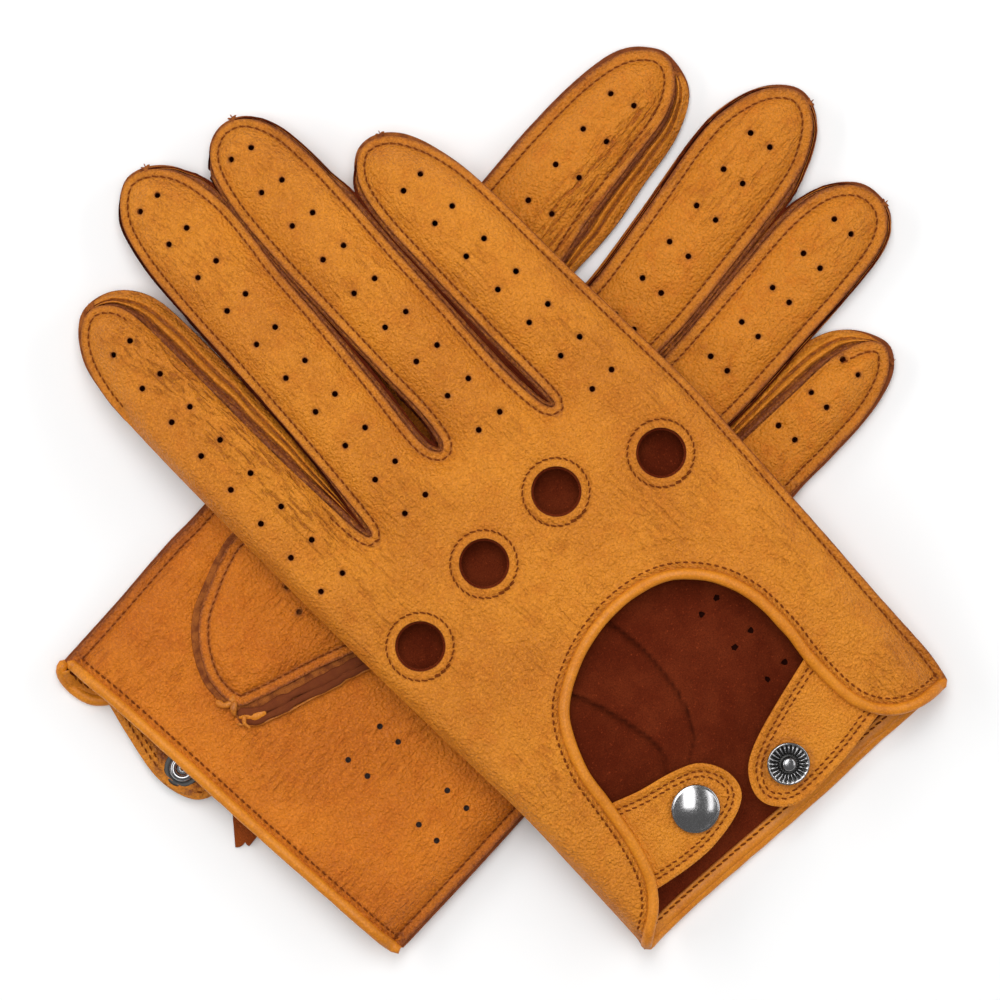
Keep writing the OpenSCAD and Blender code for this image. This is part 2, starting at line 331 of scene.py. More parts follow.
def filled(loops, step, rows, pits=()):
    """Points and triangles that fill the loops, where a loop inside another is a hole.

    The loops' own points come first. The rows are distances from the big loops at which lines of points
    follow them. The pits are small loops that aren't holes, each followed by the one round it.
    """
    every = list(loops) + list(pits)
    edge_points = np.vstack(every)
    edges, start = [], 0
    for loop in every:
        edges += [(start + i, start + (i + 1) % len(loop)) for i in range(len(loop))]
        start += len(loop)
    inner = []
    big = [loop for loop in loops if len(loop) >= BIG_LOOP]
    for row in rows:
        for loop in big:
            for reach in (-row, row):
                p = shifted(loop, reach, closed=True)
                p = p[inside(p, loops)]
                if len(p):
                    p = p[(distance(p, np.vstack(big)) > 0.93 * row) & (distance(p, edge_points) > 0.45)]
                inner.append(p)
    (left_x, low_y), (right_x, high_y) = edge_points.min(0), edge_points.max(0)
    grid = []
    for k, y in enumerate(np.arange(low_y, high_y, step * ROW_HEIGHT)):
        x = np.arange(left_x + (k % 2) * step / 2, right_x, step)
        grid.append(np.column_stack([x, np.full(len(x), y)]))
    grid = np.vstack(grid)
    grid = grid[inside(grid, loops)]
    limit = max(rows) + step * 0.6
    d, which = nearest(grid, edge_points)
    small = np.concatenate([np.full(len(loop), len(loop) < BIG_LOOP) for loop in every])
    grid = grid[d > np.where(small[which], step * 0.5, limit)]
    middles = [loop.mean(axis=0)[None] for loop in pits[::2]]
    points = np.vstack([edge_points] + inner + [grid] + middles)
    got = delaunay_2d_cdt([Vector(p) for p in points], edges, [], 0, 1e-5)
    verts = np.array([tuple(v) for v in got[0]])
    faces = np.array([tuple(f) for f in got[2] if len(f) == 3])
    faces = faces[inside(verts[faces].mean(axis=1), loops)]
    a, b, c = (verts[faces[:, k]] for k in range(3))
    area = (b[:, 0] - a[:, 0]) * (c[:, 1] - a[:, 1]) - (b[:, 1] - a[:, 1]) * (c[:, 0] - a[:, 0])
    faces[area < 0] = faces[area < 0][:, ::-1]
    used, faces = renumbered(len(verts), faces[np.abs(area) > 1e-6])
    return verts[used], faces


def rim_edges(faces):
    """The edges that only one triangle has, in that triangle's direction."""
    e = np.vstack([faces[:, [0, 1]], faces[:, [1, 2]], faces[:, [2, 0]]])
    key = {(a, b) for a, b in e.tolist()}
    return np.array([(a, b) for a, b in e.tolist() if (b, a) not in key])


def leather_sheet(xy, faces, z, up, thickness, tone, part=None, under_shift=None, rim_out=0.18,
                  raw=None):
    """A sheet of leather with its grain side at z: grain face, suede face and raw cut edge.

    Where raw is true, the suede face is as frayed as the cut edge.
    Yields the points, faces, slots, tones and corner normals of each part that the faces are shared out to.
    """
    outer = np.column_stack([xy, z])
    tri = faces if up > 0 else faces[:, ::-1]
    n = mesh_normals(outer, tri)
    inner = outer - n * thickness
    if under_shift is not None:
        inner[:, 2] += under_shift
    n_in = -mesh_normals(inner, tri)
    rim = rim_edges(tri)
    ids = np.unique(rim)
    out_dir = np.zeros_like(outer)
    d = outer[rim[:, 1]] - outer[rim[:, 0]]
    side = np.cross(d, n[rim[:, 0]])
    np.add.at(out_dir, rim[:, 0], side)
    np.add.at(out_dir, rim[:, 1], side)
    out_dir = unit(out_dir)
    count = len(outer)
    middle = (outer[ids] + inner[ids]) / 2 + out_dir[ids] * rim_out
    mid_of = np.full(count, -1)
    mid_of[ids] = np.arange(len(ids)) + 2 * count
    points = np.vstack([outer, inner, middle])
    tones = np.concatenate([tone, tone, tone[ids]])
    a, b = rim[:, 0], rim[:, 1]
    quads = np.vstack([np.column_stack([b, a, mid_of[a], mid_of[b]]),
                       np.column_stack([mid_of[b], mid_of[a], a + count, b + count])])
    tris = np.vstack([tri, tri[:, ::-1] + count])
    tri_normals = np.vstack([n, n_in])[tris]
    up_n, down_n = n + out_dir * 0.9, n_in + out_dir * 0.9
    quad_normals = unit(np.concatenate([
        np.stack([up_n[b], up_n[a], out_dir[a], out_dir[b]], axis=1),
        np.stack([out_dir[b], out_dir[a], down_n[a], down_n[b]], axis=1)]))
    tri_slots = np.repeat([0, 1], len(tri))
    if raw is not None:
        tri_slots[len(tri):] += raw[tri].all(axis=1)
    part = np.zeros(count, int) if part is None else part
    centre_part = part_of_faces(xy, tri, part)
    tri_part = np.concatenate([centre_part, centre_part])
    edge_part = {(int(p), int(q)): int(c) for t, c in zip(tri, centre_part)
                 for p, q in ((t[0], t[1]), (t[1], t[2]), (t[2], t[0]))}
    rim_part = np.array([edge_part[(int(p), int(q))] for p, q in rim])
    quad_part = np.concatenate([rim_part, rim_part])
    for k in np.unique(tri_part):
        used, t, q = renumbered(len(points), tris[tri_part == k], quads[quad_part == k])
        slots = np.concatenate([tri_slots[tri_part == k], np.full(len(q), 2)])
        normals = np.vstack([tri_normals[tri_part == k].reshape(-1, 3),
                             quad_normals[quad_part == k].reshape(-1, 3)])
        yield int(k), points[used], t.tolist() + q.tolist(), slots, tones[used], normals


def lay_sheet(name, glove, materials, xy, faces, z, up, thickness, tone, rim_out=0.18, **fit):
    """A piece that is one sheet of leather on one body."""
    sheet = leather_sheet(xy, faces, z, up, thickness, np.clip(tone, 0, 1), rim_out=rim_out)
    _, points, faces, slots, tones, normals = next(sheet)
    if len(materials) == 1:
        slots = np.zeros(len(slots))
    put(make_object(name, glove, points, faces, slots, tones, materials, normals), glove, **fit)


def part_of_faces(xy, tri, part):
    """0 for the hand, or the number of the finger that a triangle past the cut is on."""
    past = xy[tri].mean(axis=1)[:, 1] > CUT_Y
    return np.where(past, part[tri[:, 0]], 0)


def tube(path, across, high, sides=12):
    """Points and faces of a soft tube along a path, across wide and high thick, with rounded ends."""
    t = tangents(path)
    side = unit(np.cross(t, np.broadcast_to((0, 0, 1), t.shape)))
    lift = np.cross(side, t)
    n = len(path)
    across = np.broadcast_to(across, (n,)) / 2
    high = np.broadcast_to(high, (n,)) / 2
    from_start = arc(path)
    ends = np.minimum(from_start, from_start[-1] - from_start) / across.max()
    shrink = np.sqrt(np.clip(1 - (1 - np.clip(ends, 0, 1)) ** 2, 0.02, 1))
    a = np.linspace(0, 2 * np.pi, sides, endpoint=False)
    rings = (path[:, None] + ((across * shrink)[:, None] * np.cos(a))[:, :, None] * side[:, None]
             + ((high * shrink)[:, None] * np.sin(a))[:, :, None] * lift[:, None])
    return rings.reshape(-1, 3), lattice(n, sides).tolist() + caps(n, sides)


def caps(rings, sides):
    """The two faces that close a stack of rings."""
    first = np.arange(sides)
    return [first[::-1].tolist(), (first + (rings - 1) * sides).tolist()]


def curled_end(build, path, wide, high, thin, wobble, seed, sides, tone=0.0):
    """A frayed end of leather that tapers along its path."""
    n = len(path)
    size = np.linspace(1, thin, n) * (1 + wobble * noise_along(np.arange(n) / 2.0, seed))
    points, faces = tube(path, wide * size, high * size, sides)
    build.add(points, faces, 0, tone)


THREAD_SIDES = 6
# A stitch's rings: how far along it, in half lengths, how wide, in radii, and how high over the leather.
THREAD_RINGS = [(-1.0, 0.35, -0.16), (-0.7, 0.85, 0.02), (0.0, 1.0, 0.12), (0.7, 0.85, 0.02),
                (1.0, 0.35, -0.16)]
THREAD_STEP = 0.25


def stitches(build, path, up, pitch=2.0, length=1.62, radius=0.24, slant=0.2, seed=1):
    """Separate thread stitches along a path of points on the leather, with their ends sunk into it."""
    path = resampled(path, THREAD_STEP)
    count = max(1, int(round((len(path) - 1) * THREAD_STEP / pitch)))
    n = np.arange(count)
    at = ((n + 0.5) / count * (len(path) - 1)).astype(int)
    c, t = path[at], tangents(path)[at]
    side = unit(np.cross(t, np.broadcast_to(up, c.shape)))
    lift = np.cross(side, t)
    turn = (slant + 0.1 * (hashed(n, 1, seed) - 0.5))[:, None]
    t, side = t * np.cos(turn) + side * np.sin(turn), side * np.cos(turn) - t * np.sin(turn)
    half = length / 2 * (0.92 + 0.16 * hashed(n, 2, seed))
    a = np.linspace(0, 2 * np.pi, THREAD_SIDES, endpoint=False)
    rings = []
    for along, wide, rise in THREAD_RINGS:
        centre = c + t * (along * half)[:, None] + lift * rise
        rings.append(centre[:, None] + radius * wide * (np.cos(a)[None, :, None] * side[:, None]
                                                        + np.sin(a)[None, :, None] * lift[:, None]))
    points = np.stack(rings, axis=1).reshape(-1, 3)
    one = lattice(len(THREAD_RINGS), THREAD_SIDES).tolist() + caps(len(THREAD_RINGS), THREAD_SIDES)
    each = len(THREAD_RINGS) * THREAD_SIDES
    build.add(points, [[i * each + v for v in f] for i in range(count) for f in one])


def turned_form(profile, centre, up, sides, wave=0.0):
    """The rings of a turned form: the profile is (radius, height) pairs from the middle out."""
    a = np.linspace(0, 2 * np.pi, sides, endpoint=False)
    y = unit(np.cross(up, (1.0, 0, 0)))
    x = np.cross(y, up)
    heights = np.array([h for _, h in profile])[:, None] + wave
    return np.vstack([centre + r * (np.cos(a)[:, None] * x + np.sin(a)[:, None] * y) + h[:, None] * up
                      for (r, _), h in zip(profile, np.broadcast_to(heights, (len(profile), sides)))])


def lathe(build, profile, centre, up, sides=64, slot=0):
    build.add(turned_form(profile, centre, up, sides), lattice(len(profile), sides), slot)


# ---------------------------------------------------------------- materials
class Material:
    """A node material under construction. Noise coordinates are in millimetres on the unfolded glove."""

    def __init__(self, name, colour, roughness, on_glove=True, **sockets):
        self.mat = bpy.data.materials.new(name)
        self.mat.use_nodes = True
        self.tree = self.mat.node_tree
        self.shader = self.tree.nodes["Principled BSDF"]
        self.shader.inputs["Base Color"].default_value = (*colour, 1)
        self.shader.inputs["Roughness"].default_value = roughness
        self.mat.diffuse_color = (*colour, 1)
        for key, value in sockets.items():
            self.shader.inputs[key.replace("_", " ")].default_value = value
        if on_glove:
            self.place = self.node("ShaderNodeAttribute", attribute_name="place").outputs["Vector"]
        else:
            scaled = self.node("ShaderNodeVectorMath", operation="SCALE")
            scaled.inputs["Scale"].default_value = 1 / MM
            self.link(self.node("ShaderNodeTexCoord").outputs["Object"], scaled.inputs[0])
            self.place = scaled.outputs[0]

    def node(self, kind, **settings):
        n = self.tree.nodes.new(kind)
        for key, value in settings.items():
            setattr(n, key, value)
        return n

    def link(self, a, b):
        self.tree.links.new(a, b)

    def attribute(self, name):
        return self.node("ShaderNodeAttribute", attribute_name=name).outputs["Fac"]

    def noise(self, per_mm, detail=3.0, roughness=0.55, place=None, distortion=0.0):
        n = self.node("ShaderNodeTexNoise")
        n.inputs["Scale"].default_value = per_mm
        n.inputs["Detail"].default_value = detail
        n.inputs["Roughness"].default_value = roughness
        n.inputs["Distortion"].default_value = distortion
        self.link(place or self.place, n.inputs["Vector"])
        return n.outputs[0]

    def pebbles(self, per_mm, place):
        n = self.node("ShaderNodeTexVoronoi", feature="SMOOTH_F1")
        n.inputs["Scale"].default_value = per_mm
        self.link(place, n.inputs["Vector"])
        return n.outputs["Distance"]

    def warped(self, per_mm, amount):
        """The place, moved about by noise, so that cells lose their straight edges."""
        n = self.node("ShaderNodeTexNoise")
        n.inputs["Scale"].default_value = per_mm
        n.inputs["Detail"].default_value = 2
        self.link(self.place, n.inputs["Vector"])
        by = self.node("ShaderNodeVectorMath", operation="MULTIPLY_ADD")
        by.inputs[1].default_value = (amount,) * 3
        self.link(n.outputs["Color"], by.inputs[0])
        self.link(self.place, by.inputs[2])
        return by.outputs[0]

    def between(self, value, low, high, to_low=0.0, to_high=1.0):
        n = self.node("ShaderNodeMapRange", interpolation_type="SMOOTHSTEP")
        for key, v in (("From Min", low), ("From Max", high), ("To Min", to_low), ("To Max", to_high)):
            n.inputs[key].default_value = v
        self.link(value, n.inputs["Value"])
        return n.outputs["Result"]

    def stretched(self, by):
        """The place, scaled by a different amount along each axis, so that a noise is drawn out."""
        n = self.node("ShaderNodeVectorMath", operation="MULTIPLY")
        n.inputs[1].default_value = by
        self.link(self.place, n.inputs[0])
        return n.outputs[0]

    def math(self, operation, a, b):
        n = self.node("ShaderNodeMath", operation=operation)
        for socket, v in zip(n.inputs, (a, b)):
            if isinstance(v, (int, float)):
                socket.default_value = v
            else:
                self.link(v, socket)
        return n.outputs[0]

    def times(self, a, b):
        return self.math("MULTIPLY", a, b)

    def plus(self, a, b):
        return self.math("ADD", a, b)

    def mix(self, a, b, fac):
        n = self.node("ShaderNodeMix", data_type="RGBA")
        for socket, v in ((n.inputs[6], a), (n.inputs[7], b), (n.inputs[0], fac)):
            if isinstance(v, tuple):
                socket.default_value = (*v, 1)
            elif isinstance(v, (int, float)):
                socket.default_value = v
            else:
                self.link(v, socket)
        return n.outputs[2]

    def colour(self, socket):
        self.link(socket, self.shader.inputs["Base Color"])

    def roughness(self, socket):
        self.link(socket, self.shader.inputs["Roughness"])

    def relief(self, height, depth_mm):
        n = self.node("ShaderNodeBump")
        n.inputs["Distance"].default_value = depth_mm * MM
        n.inputs["Strength"].default_value = 1
        self.link(height, n.inputs["Height"])
        self.link(n.outputs[0], self.shader.inputs["Normal"])


RAW_EDGE = (0.195, 0.047, 0.012)
# Near black: painted shadow inside the pits.
HOLE_SHADOW_PAINT = (0.012, 0.004, 0.001)


def dimmed(colour, *by):
    """A colour with each channel scaled, by one factor or by three."""
    return tuple(min(1, v * k) for v, k in zip(colour, by * 3))


def leather_material(name, pale, deep, grain_mm=0.66, depth=0.48, rough=0.47, fingers=None):
    """Soft grain leather: fine pebbles, drawn-out wrinkles and cloudy colour, brown at cut edges, seams and
    wear, with painted shade and highlight in its grain, wrinkles and folds.

    The fingers may have a paler colour of their own.
    """
    m = Material(name, pale, rough, Specular_IOR_Level=0.28)
    bent = m.warped(1.1 / grain_mm, 0.9 * grain_mm)
    pebble = m.between(m.pebbles(1 / grain_mm, bent), 0.15, 0.75, 1.0, 0.0)
    grain = m.noise(1.15 / grain_mm, detail=3, roughness=0.62)
    cloud = m.noise(0.035, detail=3)
    patch = m.noise(0.2, detail=5, roughness=0.6)
    streak = m.noise(0.9, detail=3, roughness=0.6, place=m.stretched((1.0, 0.17, 1.0)), distortion=0.4)
    wrinkled = m.between(m.noise(0.05, detail=2), 0.4, 0.66, 0.0, 0.42)
    xyz = m.node("ShaderNodeSeparateXYZ")
    m.link(m.place, xyz.inputs[0])
    x, y = xyz.outputs["X"], xyz.outputs["Y"]
    index_side = m.times(m.between(x, -42, -36), m.between(x, -27, -30))
    index_side = m.times(index_side, m.between(y, 118, 135))
    wrinkled = m.math("MAXIMUM", wrinkled, m.times(index_side, m.between(y, 209, 200)))
    dark = dimmed(deep, 0.62, 0.5, 0.4)
    colour = m.mix(pale, deep, m.between(cloud, 0.36, 0.66))
    if fingers:
        colour = m.mix(colour, fingers, m.between(y, 95, 135))
    colour = m.mix(colour, dimmed(deep, 0.92, 0.72, 0.5), m.between(patch, 0.46, 0.72, 0.0, 0.36))
    # Darker speckle in the grain: partly grain colour, partly painted shade on the pebbles.
    colour = m.mix(colour, dark, m.between(grain, 0.34, 0.5, 0.24, 0.0))
    # Darker streaks along the wrinkles: painted shade in the creases.
    colour = m.mix(colour, dark, m.times(m.between(streak, 0.38, 0.48, 0.75, 0.0), wrinkled))
    # Paler speckle in the grain: partly grain colour, partly painted highlight on the pebbles.
    colour = m.mix(colour, dimmed(pale, 1.3), m.between(grain, 0.5, 0.66, 0.0, 0.42))
    # The tone browns it: cut edges, seams and wear, and painted shade in the strips' fold valleys, on the
    # left straps' faces and along the thumb's seams.
    uneven = m.between(m.noise(1.7, detail=5, roughness=0.7), 0.3, 0.68, 0.6, 1.2)
    wear_and_shade = m.times(m.attribute("tone"), uneven)
    colour = m.mix(colour, RAW_EDGE, m.between(wear_and_shade, 0.0, 1.0))
    # Tone past 1.2 paints it near black: painted shadow inside the pits.
    m.colour(m.mix(colour, HOLE_SHADOW_PAINT, m.between(m.attribute("tone"), 1.2, 1.8)))
    m.roughness(m.plus(m.between(patch, 0.3, 0.7, rough - 0.06, rough + 0.1),
                       m.between(pebble, 0.0, 0.5, 0.1, 0.0)))
    height = m.plus(m.times(pebble, 0.6), m.times(grain, 0.8))
    folds = m.times(m.between(streak, 0.3, 0.55), m.plus(wrinkled, 0.25))
    m.relief(m.plus(height, m.times(folds, 0.9)), depth)
    return m.mat


def suede_material(name, colour, light):
    m = Material(name, colour, 0.95, Specular_IOR_Level=0.05)
    nap = m.noise(2.6, detail=5, roughness=0.7)
    cloud = m.noise(0.09, detail=4, roughness=0.6)
    tint = m.mix(colour, light, m.between(cloud, 0.35, 0.68))
    tint = m.mix(tint, dimmed(colour, 0.45), m.between(nap, 0.35, 0.6, 0.5, 0.0))
    tint = m.mix(tint, dimmed(light, 2.2), m.between(m.noise(1.7, detail=2), 0.6, 0.78, 0.0, 0.5))
    # The tone darkens it: seams, painted shade beside the thumb's seams, and painted shadow near black in
    # the pits.
    m.colour(m.mix(tint, dimmed(colour, 0.12), m.between(m.attribute("tone"), 0.0, 1.2)))
    m.roughness(m.between(nap, 0.3, 0.7, 0.88, 1.0))
    m.relief(nap, 0.22)
    return m.mat


def raw_edge_material(name, pale):
    """The cut edge of dyed-through leather: fibrous and dry, tan with brown in it."""
    m = Material(name, pale, 0.9, Specular_IOR_Level=0.15)
    fibre = m.noise(4.5, detail=5, roughness=0.75)
    cloud = m.noise(0.5, detail=3)
    tint = m.mix(pale, RAW_EDGE, m.between(cloud, 0.35, 0.7))
    m.colour(m.mix(tint, (0.13, 0.03, 0.009), m.between(fibre, 0.35, 0.6, 0.55, 0.0)))
    m.roughness(m.between(fibre, 0.3, 0.7, 0.8, 1.0))
    m.relief(fibre, 0.2)
    return m.mat


def thread_material(name, colour):
    m = Material(name, colour, 0.75, Specular_IOR_Level=0.08)
    ply = m.noise(5.5, detail=2)
    m.colour(m.mix(dimmed(colour, 0.6), colour, m.between(ply, 0.4, 0.6)))
    m.roughness(m.between(ply, 0.3, 0.7, 0.65, 0.85))
    m.relief(ply, 0.08)
    return m.mat


def metal_material(name, colour, roughness, on_glove):
    """Dark plated metal with faint rub marks."""
    m = Material(name, colour, roughness, on_glove, Metallic=1.0)
    rub = m.noise(1.4, detail=6, roughness=0.75, distortion=1.5)
    m.colour(m.mix(dimmed(colour, 0.8), colour, m.between(rub, 0.35, 0.65)))
    m.roughness(m.between(rub, 0.35, 0.75, roughness - 0.05, roughness + 0.12))
    m.relief(rub, 0.01)
    return m.mat


TAN = leather_material("tan_grain_leather", (0.690, 0.234, 0.014), (0.572, 0.179, 0.010))
PALM_TAN = leather_material("palm_grain_leather", (0.650, 0.182, 0.007), (0.540, 0.136, 0.005), rough=0.48,
                            fingers=(0.640, 0.212, 0.012))
STRAP_TAN = leather_material("strap_grain_leather", (0.695, 0.237, 0.013), (0.600, 0.188, 0.009),
                             grain_mm=0.6, depth=0.38)
BINDING_TAN = leather_material("binding_leather", (0.680, 0.232, 0.013), (0.580, 0.184, 0.009),
                               grain_mm=0.6, depth=0.05, rough=0.42)
SUEDE = suede_material("suede_inside", (0.115, 0.015, 0.004), (0.165, 0.026, 0.007))
EDGE = raw_edge_material("raw_cut_edge", (0.420, 0.125, 0.022))
WORN_EDGE = raw_edge_material("worn_cut_edge", (0.270, 0.068, 0.018))
GUSSET = raw_edge_material("frayed_gusset", (0.170, 0.038, 0.011))
TAB = suede_material("tab_suede", (0.240, 0.048, 0.010), (0.320, 0.070, 0.014))
THREAD = thread_material("rust_thread", (0.225, 0.050, 0.006))
NICKEL = metal_material("dark_nickel", (0.38, 0.375, 0.38), 0.21, True)
# Near-black metal: tarnish in the snaps' recesses and the stud's rib hollows, and painted shade on the
# socket's step and flange.
TARNISH_AND_SHADE = metal_material("tarnish_and_painted_shade", (0.06, 0.058, 0.056), 0.4, True)
# Near-black nickel for the CAD eyelets: dark nickel with painted shade, where the eyelet lies in the recess
# under the hem.
EYELET_NICKEL_AND_SHADE = metal_material("eyelet_nickel_and_painted_shade", (0.09, 0.088, 0.088), 0.45, False)
SHEET = [TAN, SUEDE, EDGE]


# ---------------------------------------------------------------- outlines, in millimetres
NARROW_FLANGE, FLANGE = 1.9, 2.5     # how far the sewn edges stand out past the stitches
ROUND = 8.6              # how far in from the flange the leather still curves
SEAM_H = 0.95            # height of a flange's outer face over the seam
GRID = 1.05              # the size of the triangles
SEAM_STEP = 1.1          # the distance between an outline's samples

RIGHT_BACK = [
    (-51, 2.5), (-50.5, 10), (-49.5, 30), (-48.8, 50), (-49.5, 80), (-50, 110), (-50, 150), (-49.5, 185),
    (-48.2, 199), (-44.5, 208.5), (-38.5, 213.6), (-33, 212.2), (-29.6, 205), (-29, 185), (-29, 160),
    (-28.5, 138), (-28, 127.5), (-26.8, 123.8), (-25.2, 126), (-23.6, 140), (-22, 160), (-20.8, 180),
    (-20, 196), (-18.5, 212), (-15, 224), (-8, 230.4), (-1, 228.6), (4, 221.5), (6, 210), (5.2, 198),
    (3.8, 188), (2.5, 170), (0.6, 150), (-1.2, 135), (-1, 129), (1, 126.3), (3.2, 129), (4.4, 138),
    (4.6, 152), (5.2, 172), (5.8, 190), (7.4, 207), (11.2, 218.6), (18, 223), (24.6, 220.8), (28.6, 213),
    (29.6, 202), (29.2, 188), (28, 170), (27, 150), (26, 132), (26.6, 118.5), (28.4, 114.6), (29.8, 118),
    (30, 140), (30.5, 160), (31.2, 177), (33.6, 188), (39, 193.8), (45, 193.2), (50, 188), (53.8, 178),
    (55.3, 165), (55.5, 140), (56, 115), (56.4, 95), (55.4, 75), (54, 50), (52.5, 25), (51.5, 5),
    (50, -3.5)]
RIGHT_PALM = [
    (-51.4, 2.5), (-50, 10), (-48.8, 30), (-48, 50), (-48.6, 80), (-49, 110), (-49, 150), (-49.1, 180),
    (-48.2, 199.5), (-44.6, 209.2), (-38, 215), (-29.6, 213.6), (-23.6, 206.5), (-22, 195), (-22.4, 170),
    (-24.3, 145), (-27.2, 127.5), (-26.4, 123.8), (-25, 126), (-23.2, 140), (-21.6, 160), (-20.4, 180),
    (-19.8, 196), (-18.6, 212), (-15, 224.6), (-7.4, 231), (0, 229), (5.2, 222), (7, 210), (6, 198),
    (4.6, 188), (3.2, 170), (1.2, 150), (-0.4, 135), (-0.4, 129), (1.3, 126.6), (3, 129), (4.2, 138),
    (4.8, 152), (5.6, 172), (6.2, 190), (7.6, 207), (11.2, 219), (18, 223.6), (25.2, 221.4),
    (29.6, 213.5), (30.6, 202), (30.2, 188), (28.8, 170), (27.6, 150), (26.8, 132), (27, 118.5),
    (28.5, 114.8), (29.6, 118), (29.8, 140), (30.4, 160), (31, 177), (33.2, 188.4), (39, 194.4),
    (45.4, 194), (50.8, 188.4), (54, 178), (55.3, 165), (55.4, 140), (55.9, 115), (56.2, 95), (55.2, 75),
    (53.8, 50), (52.2, 25), (51.3, 5), (50, -3.5)]
LEFT_PALM = [
    (-54.4, 1), (-54.2, 20), (-54.2, 40), (-53.6, 55), (-53.6, 110), (-54.2, 160), (-54.2, 178),
    (-53, 195), (-50, 206.5), (-45, 212.6), (-40, 214), (-35, 211), (-31.2, 203), (-30, 190),
    (-28.6, 170), (-26.6, 155), (-26.4, 138), (-27, 127), (-26, 123.6), (-24, 127), (-20.2, 142),
    (-17, 157), (-18.6, 180), (-21, 203), (-20.4, 214), (-16.6, 224), (-10, 229.2), (-3.4, 227.2),
    (1.6, 220), (4.4, 210), (6, 188), (6.8, 165), (5, 142), (2.4, 129), (1.2, 126.6), (3, 129), (7, 142),
    (9, 160), (8.8, 185), (8.8, 203), (11.2, 214.4), (16, 220.6), (21.6, 222.4), (27.4, 220.4),
    (31.2, 213.6), (32.4, 200), (32.2, 180), (31.8, 160), (30, 140), (28, 119), (28.8, 114.6),
    (30.4, 118), (33.6, 135), (37, 152), (39, 170), (40.6, 184), (44, 192.6), (48.4, 195.4),
    (52.4, 192.6), (55, 187), (56.4, 178), (56, 165), (55.3, 153), (56, 130), (57, 100), (57, 45),
    (55.6, 2)]
LEFT_BACK = [
    (-55, 1), (-54.8, 20), (-54.8, 40), (-54.2, 55), (-54.2, 110), (-54.8, 160), (-54.9, 178),
    (-53.8, 195), (-50.8, 207.4), (-45, 213.6), (-39, 215), (-30.6, 211.6), (-25.6, 201), (-24, 187),
    (-22.4, 172), (-23, 155), (-25.2, 138), (-26.6, 127), (-25.8, 123.6), (-24.4, 127), (-21.2, 142),
    (-18.4, 157), (-19.9, 180), (-22.2, 203), (-21.6, 214.4), (-17.2, 225), (-10, 230.4), (-2.6, 228.2),
    (2.8, 220.6), (5.6, 210), (7, 188), (7.8, 165), (5.6, 142), (2.8, 129), (1.4, 126.6), (2.8, 129),
    (6.4, 142), (8.2, 160), (7.8, 185), (7.8, 203), (10.2, 214.8), (15.6, 221.6), (21.6, 223.4),
    (28.2, 221.4), (32.4, 214), (33.4, 200), (33.2, 180), (32.4, 160), (30.4, 140), (28.2, 119),
    (28.8, 114.6), (30, 118), (31.8, 135), (32.4, 152), (32.6, 170), (33.6, 184), (39, 192.6),
    (48, 196.6), (53.4, 193.6), (56, 187.4), (57.1, 178), (56.7, 165), (56, 153), (56.7, 130),
    (57.7, 100), (57.7, 45), (56.3, 2)]
TIPS = {"right": [(-40, 213), (-6, 230), (18, 223), (42, 194)],
        "left": [(-40, 214), (-10, 229), (21, 222), (48, 195)]}
SLITS = [(-26.5, 123.7), (1.1, 126.5), (28.5, 114.7)]
# The cut edges at the wrist, from the little finger's side to the index finger's.
RIGHT_OPENING = [
    (50, -3.5), (48, -3.2), (41, -2), (35.4, 1), (31.4, 6), (29.4, 13), (29.4, 25), (30.6, 35),
    (30.2, 47.4), (26, 57.8), (17.6, 65.7), (5, 68.8), (-8.4, 67.3), (-19.8, 62.2), (-26, 55.8),
    (-30.6, 45.4), (-32.2, 36), (-34.2, 25), (-37.2, 15.6), (-41.8, 9.2), (-47.6, 5), (-51, 2.5)]
LEFT_OPENING = [
    (56.3, 2), (48, 2.6), (41, 2.4), (35.4, 3.4), (31.4, 7), (29.4, 13), (29.4, 25), (30.6, 35),
    (30.2, 47.4), (26, 57.8), (17.6, 65.7), (5, 68.8), (-8.4, 67.3), (-19.8, 62.2), (-26, 55.8),
    (-30.6, 45.4), (-32.2, 36), (-34.2, 25), (-36, 14), (-38.4, 4), (-42.6, -2), (-48.6, -3.6),
    (-53.6, -2.4), (-55, 1)]
RIGHT_HEM = [
    (50, -3.5), (40, -2.6), (25, -1.6), (10, -1.2), (-5, -0.2), (-20, 1), (-35, 2), (-51.4, 2.5)]
LEFT_HEM = [(55.6, 2), (54, 0.6), (40, 0.6), (10, 0.8), (-20, 1.4), (-40, 1.6), (-54.4, 1)]

KNUCKLES = [(-37, 96), (-11.3, 99.3), (14, 99.3), (39.2, 87.7)]
KNUCKLE_R, FACING_R, FACING_OUT_R, KNUCKLE_STITCH_R = 6.3, 5.7, 9.2, 8.4
HOLE_R = 0.8
HOLE_SIDES, KNUCKLE_SIDES, FACING_SIDES = 12, 48, 64
# Each pair of lines of perforations: the two tops, the two bottoms and how many rows.
RIGHT_BACK_HOLES = [((-40, 201.5), (-34.5, 201), (-44.8, 123), (-37.8, 122.5), 8),
                    ((-10, 222.5), (-4, 222.3), (-16.4, 122), (-9.5, 121.7), 10),
                    ((15.3, 215.5), (21, 214), (11.2, 123.7), (18.1, 123.2), 9),
                    ((40, 179), (46, 179), (38.3, 111), (45.1, 111), 7)]
LEFT_PALM_HOLES = [((-45, 198), (-38.5, 199.5), (-41, 130.4), (-34, 131.5), 7),
                   ((-12, 213.5), (-6, 214), (-6, 134.4), (0, 134.4), 8),
                   ((18, 211), (23.7, 210.9), (16.6, 130), (22, 130), 8),
                   ((42.8, 186), (48.2, 185.5), (39.4, 128), (45, 128.6), 6),
                   ((15.5, 40.2), (21.5, 40.3), (15, 28.7), (21.3, 28.8), 2),
                   ((38.8, 39.2), (45.3, 39), (39, 28.1), (45, 28), 2)]
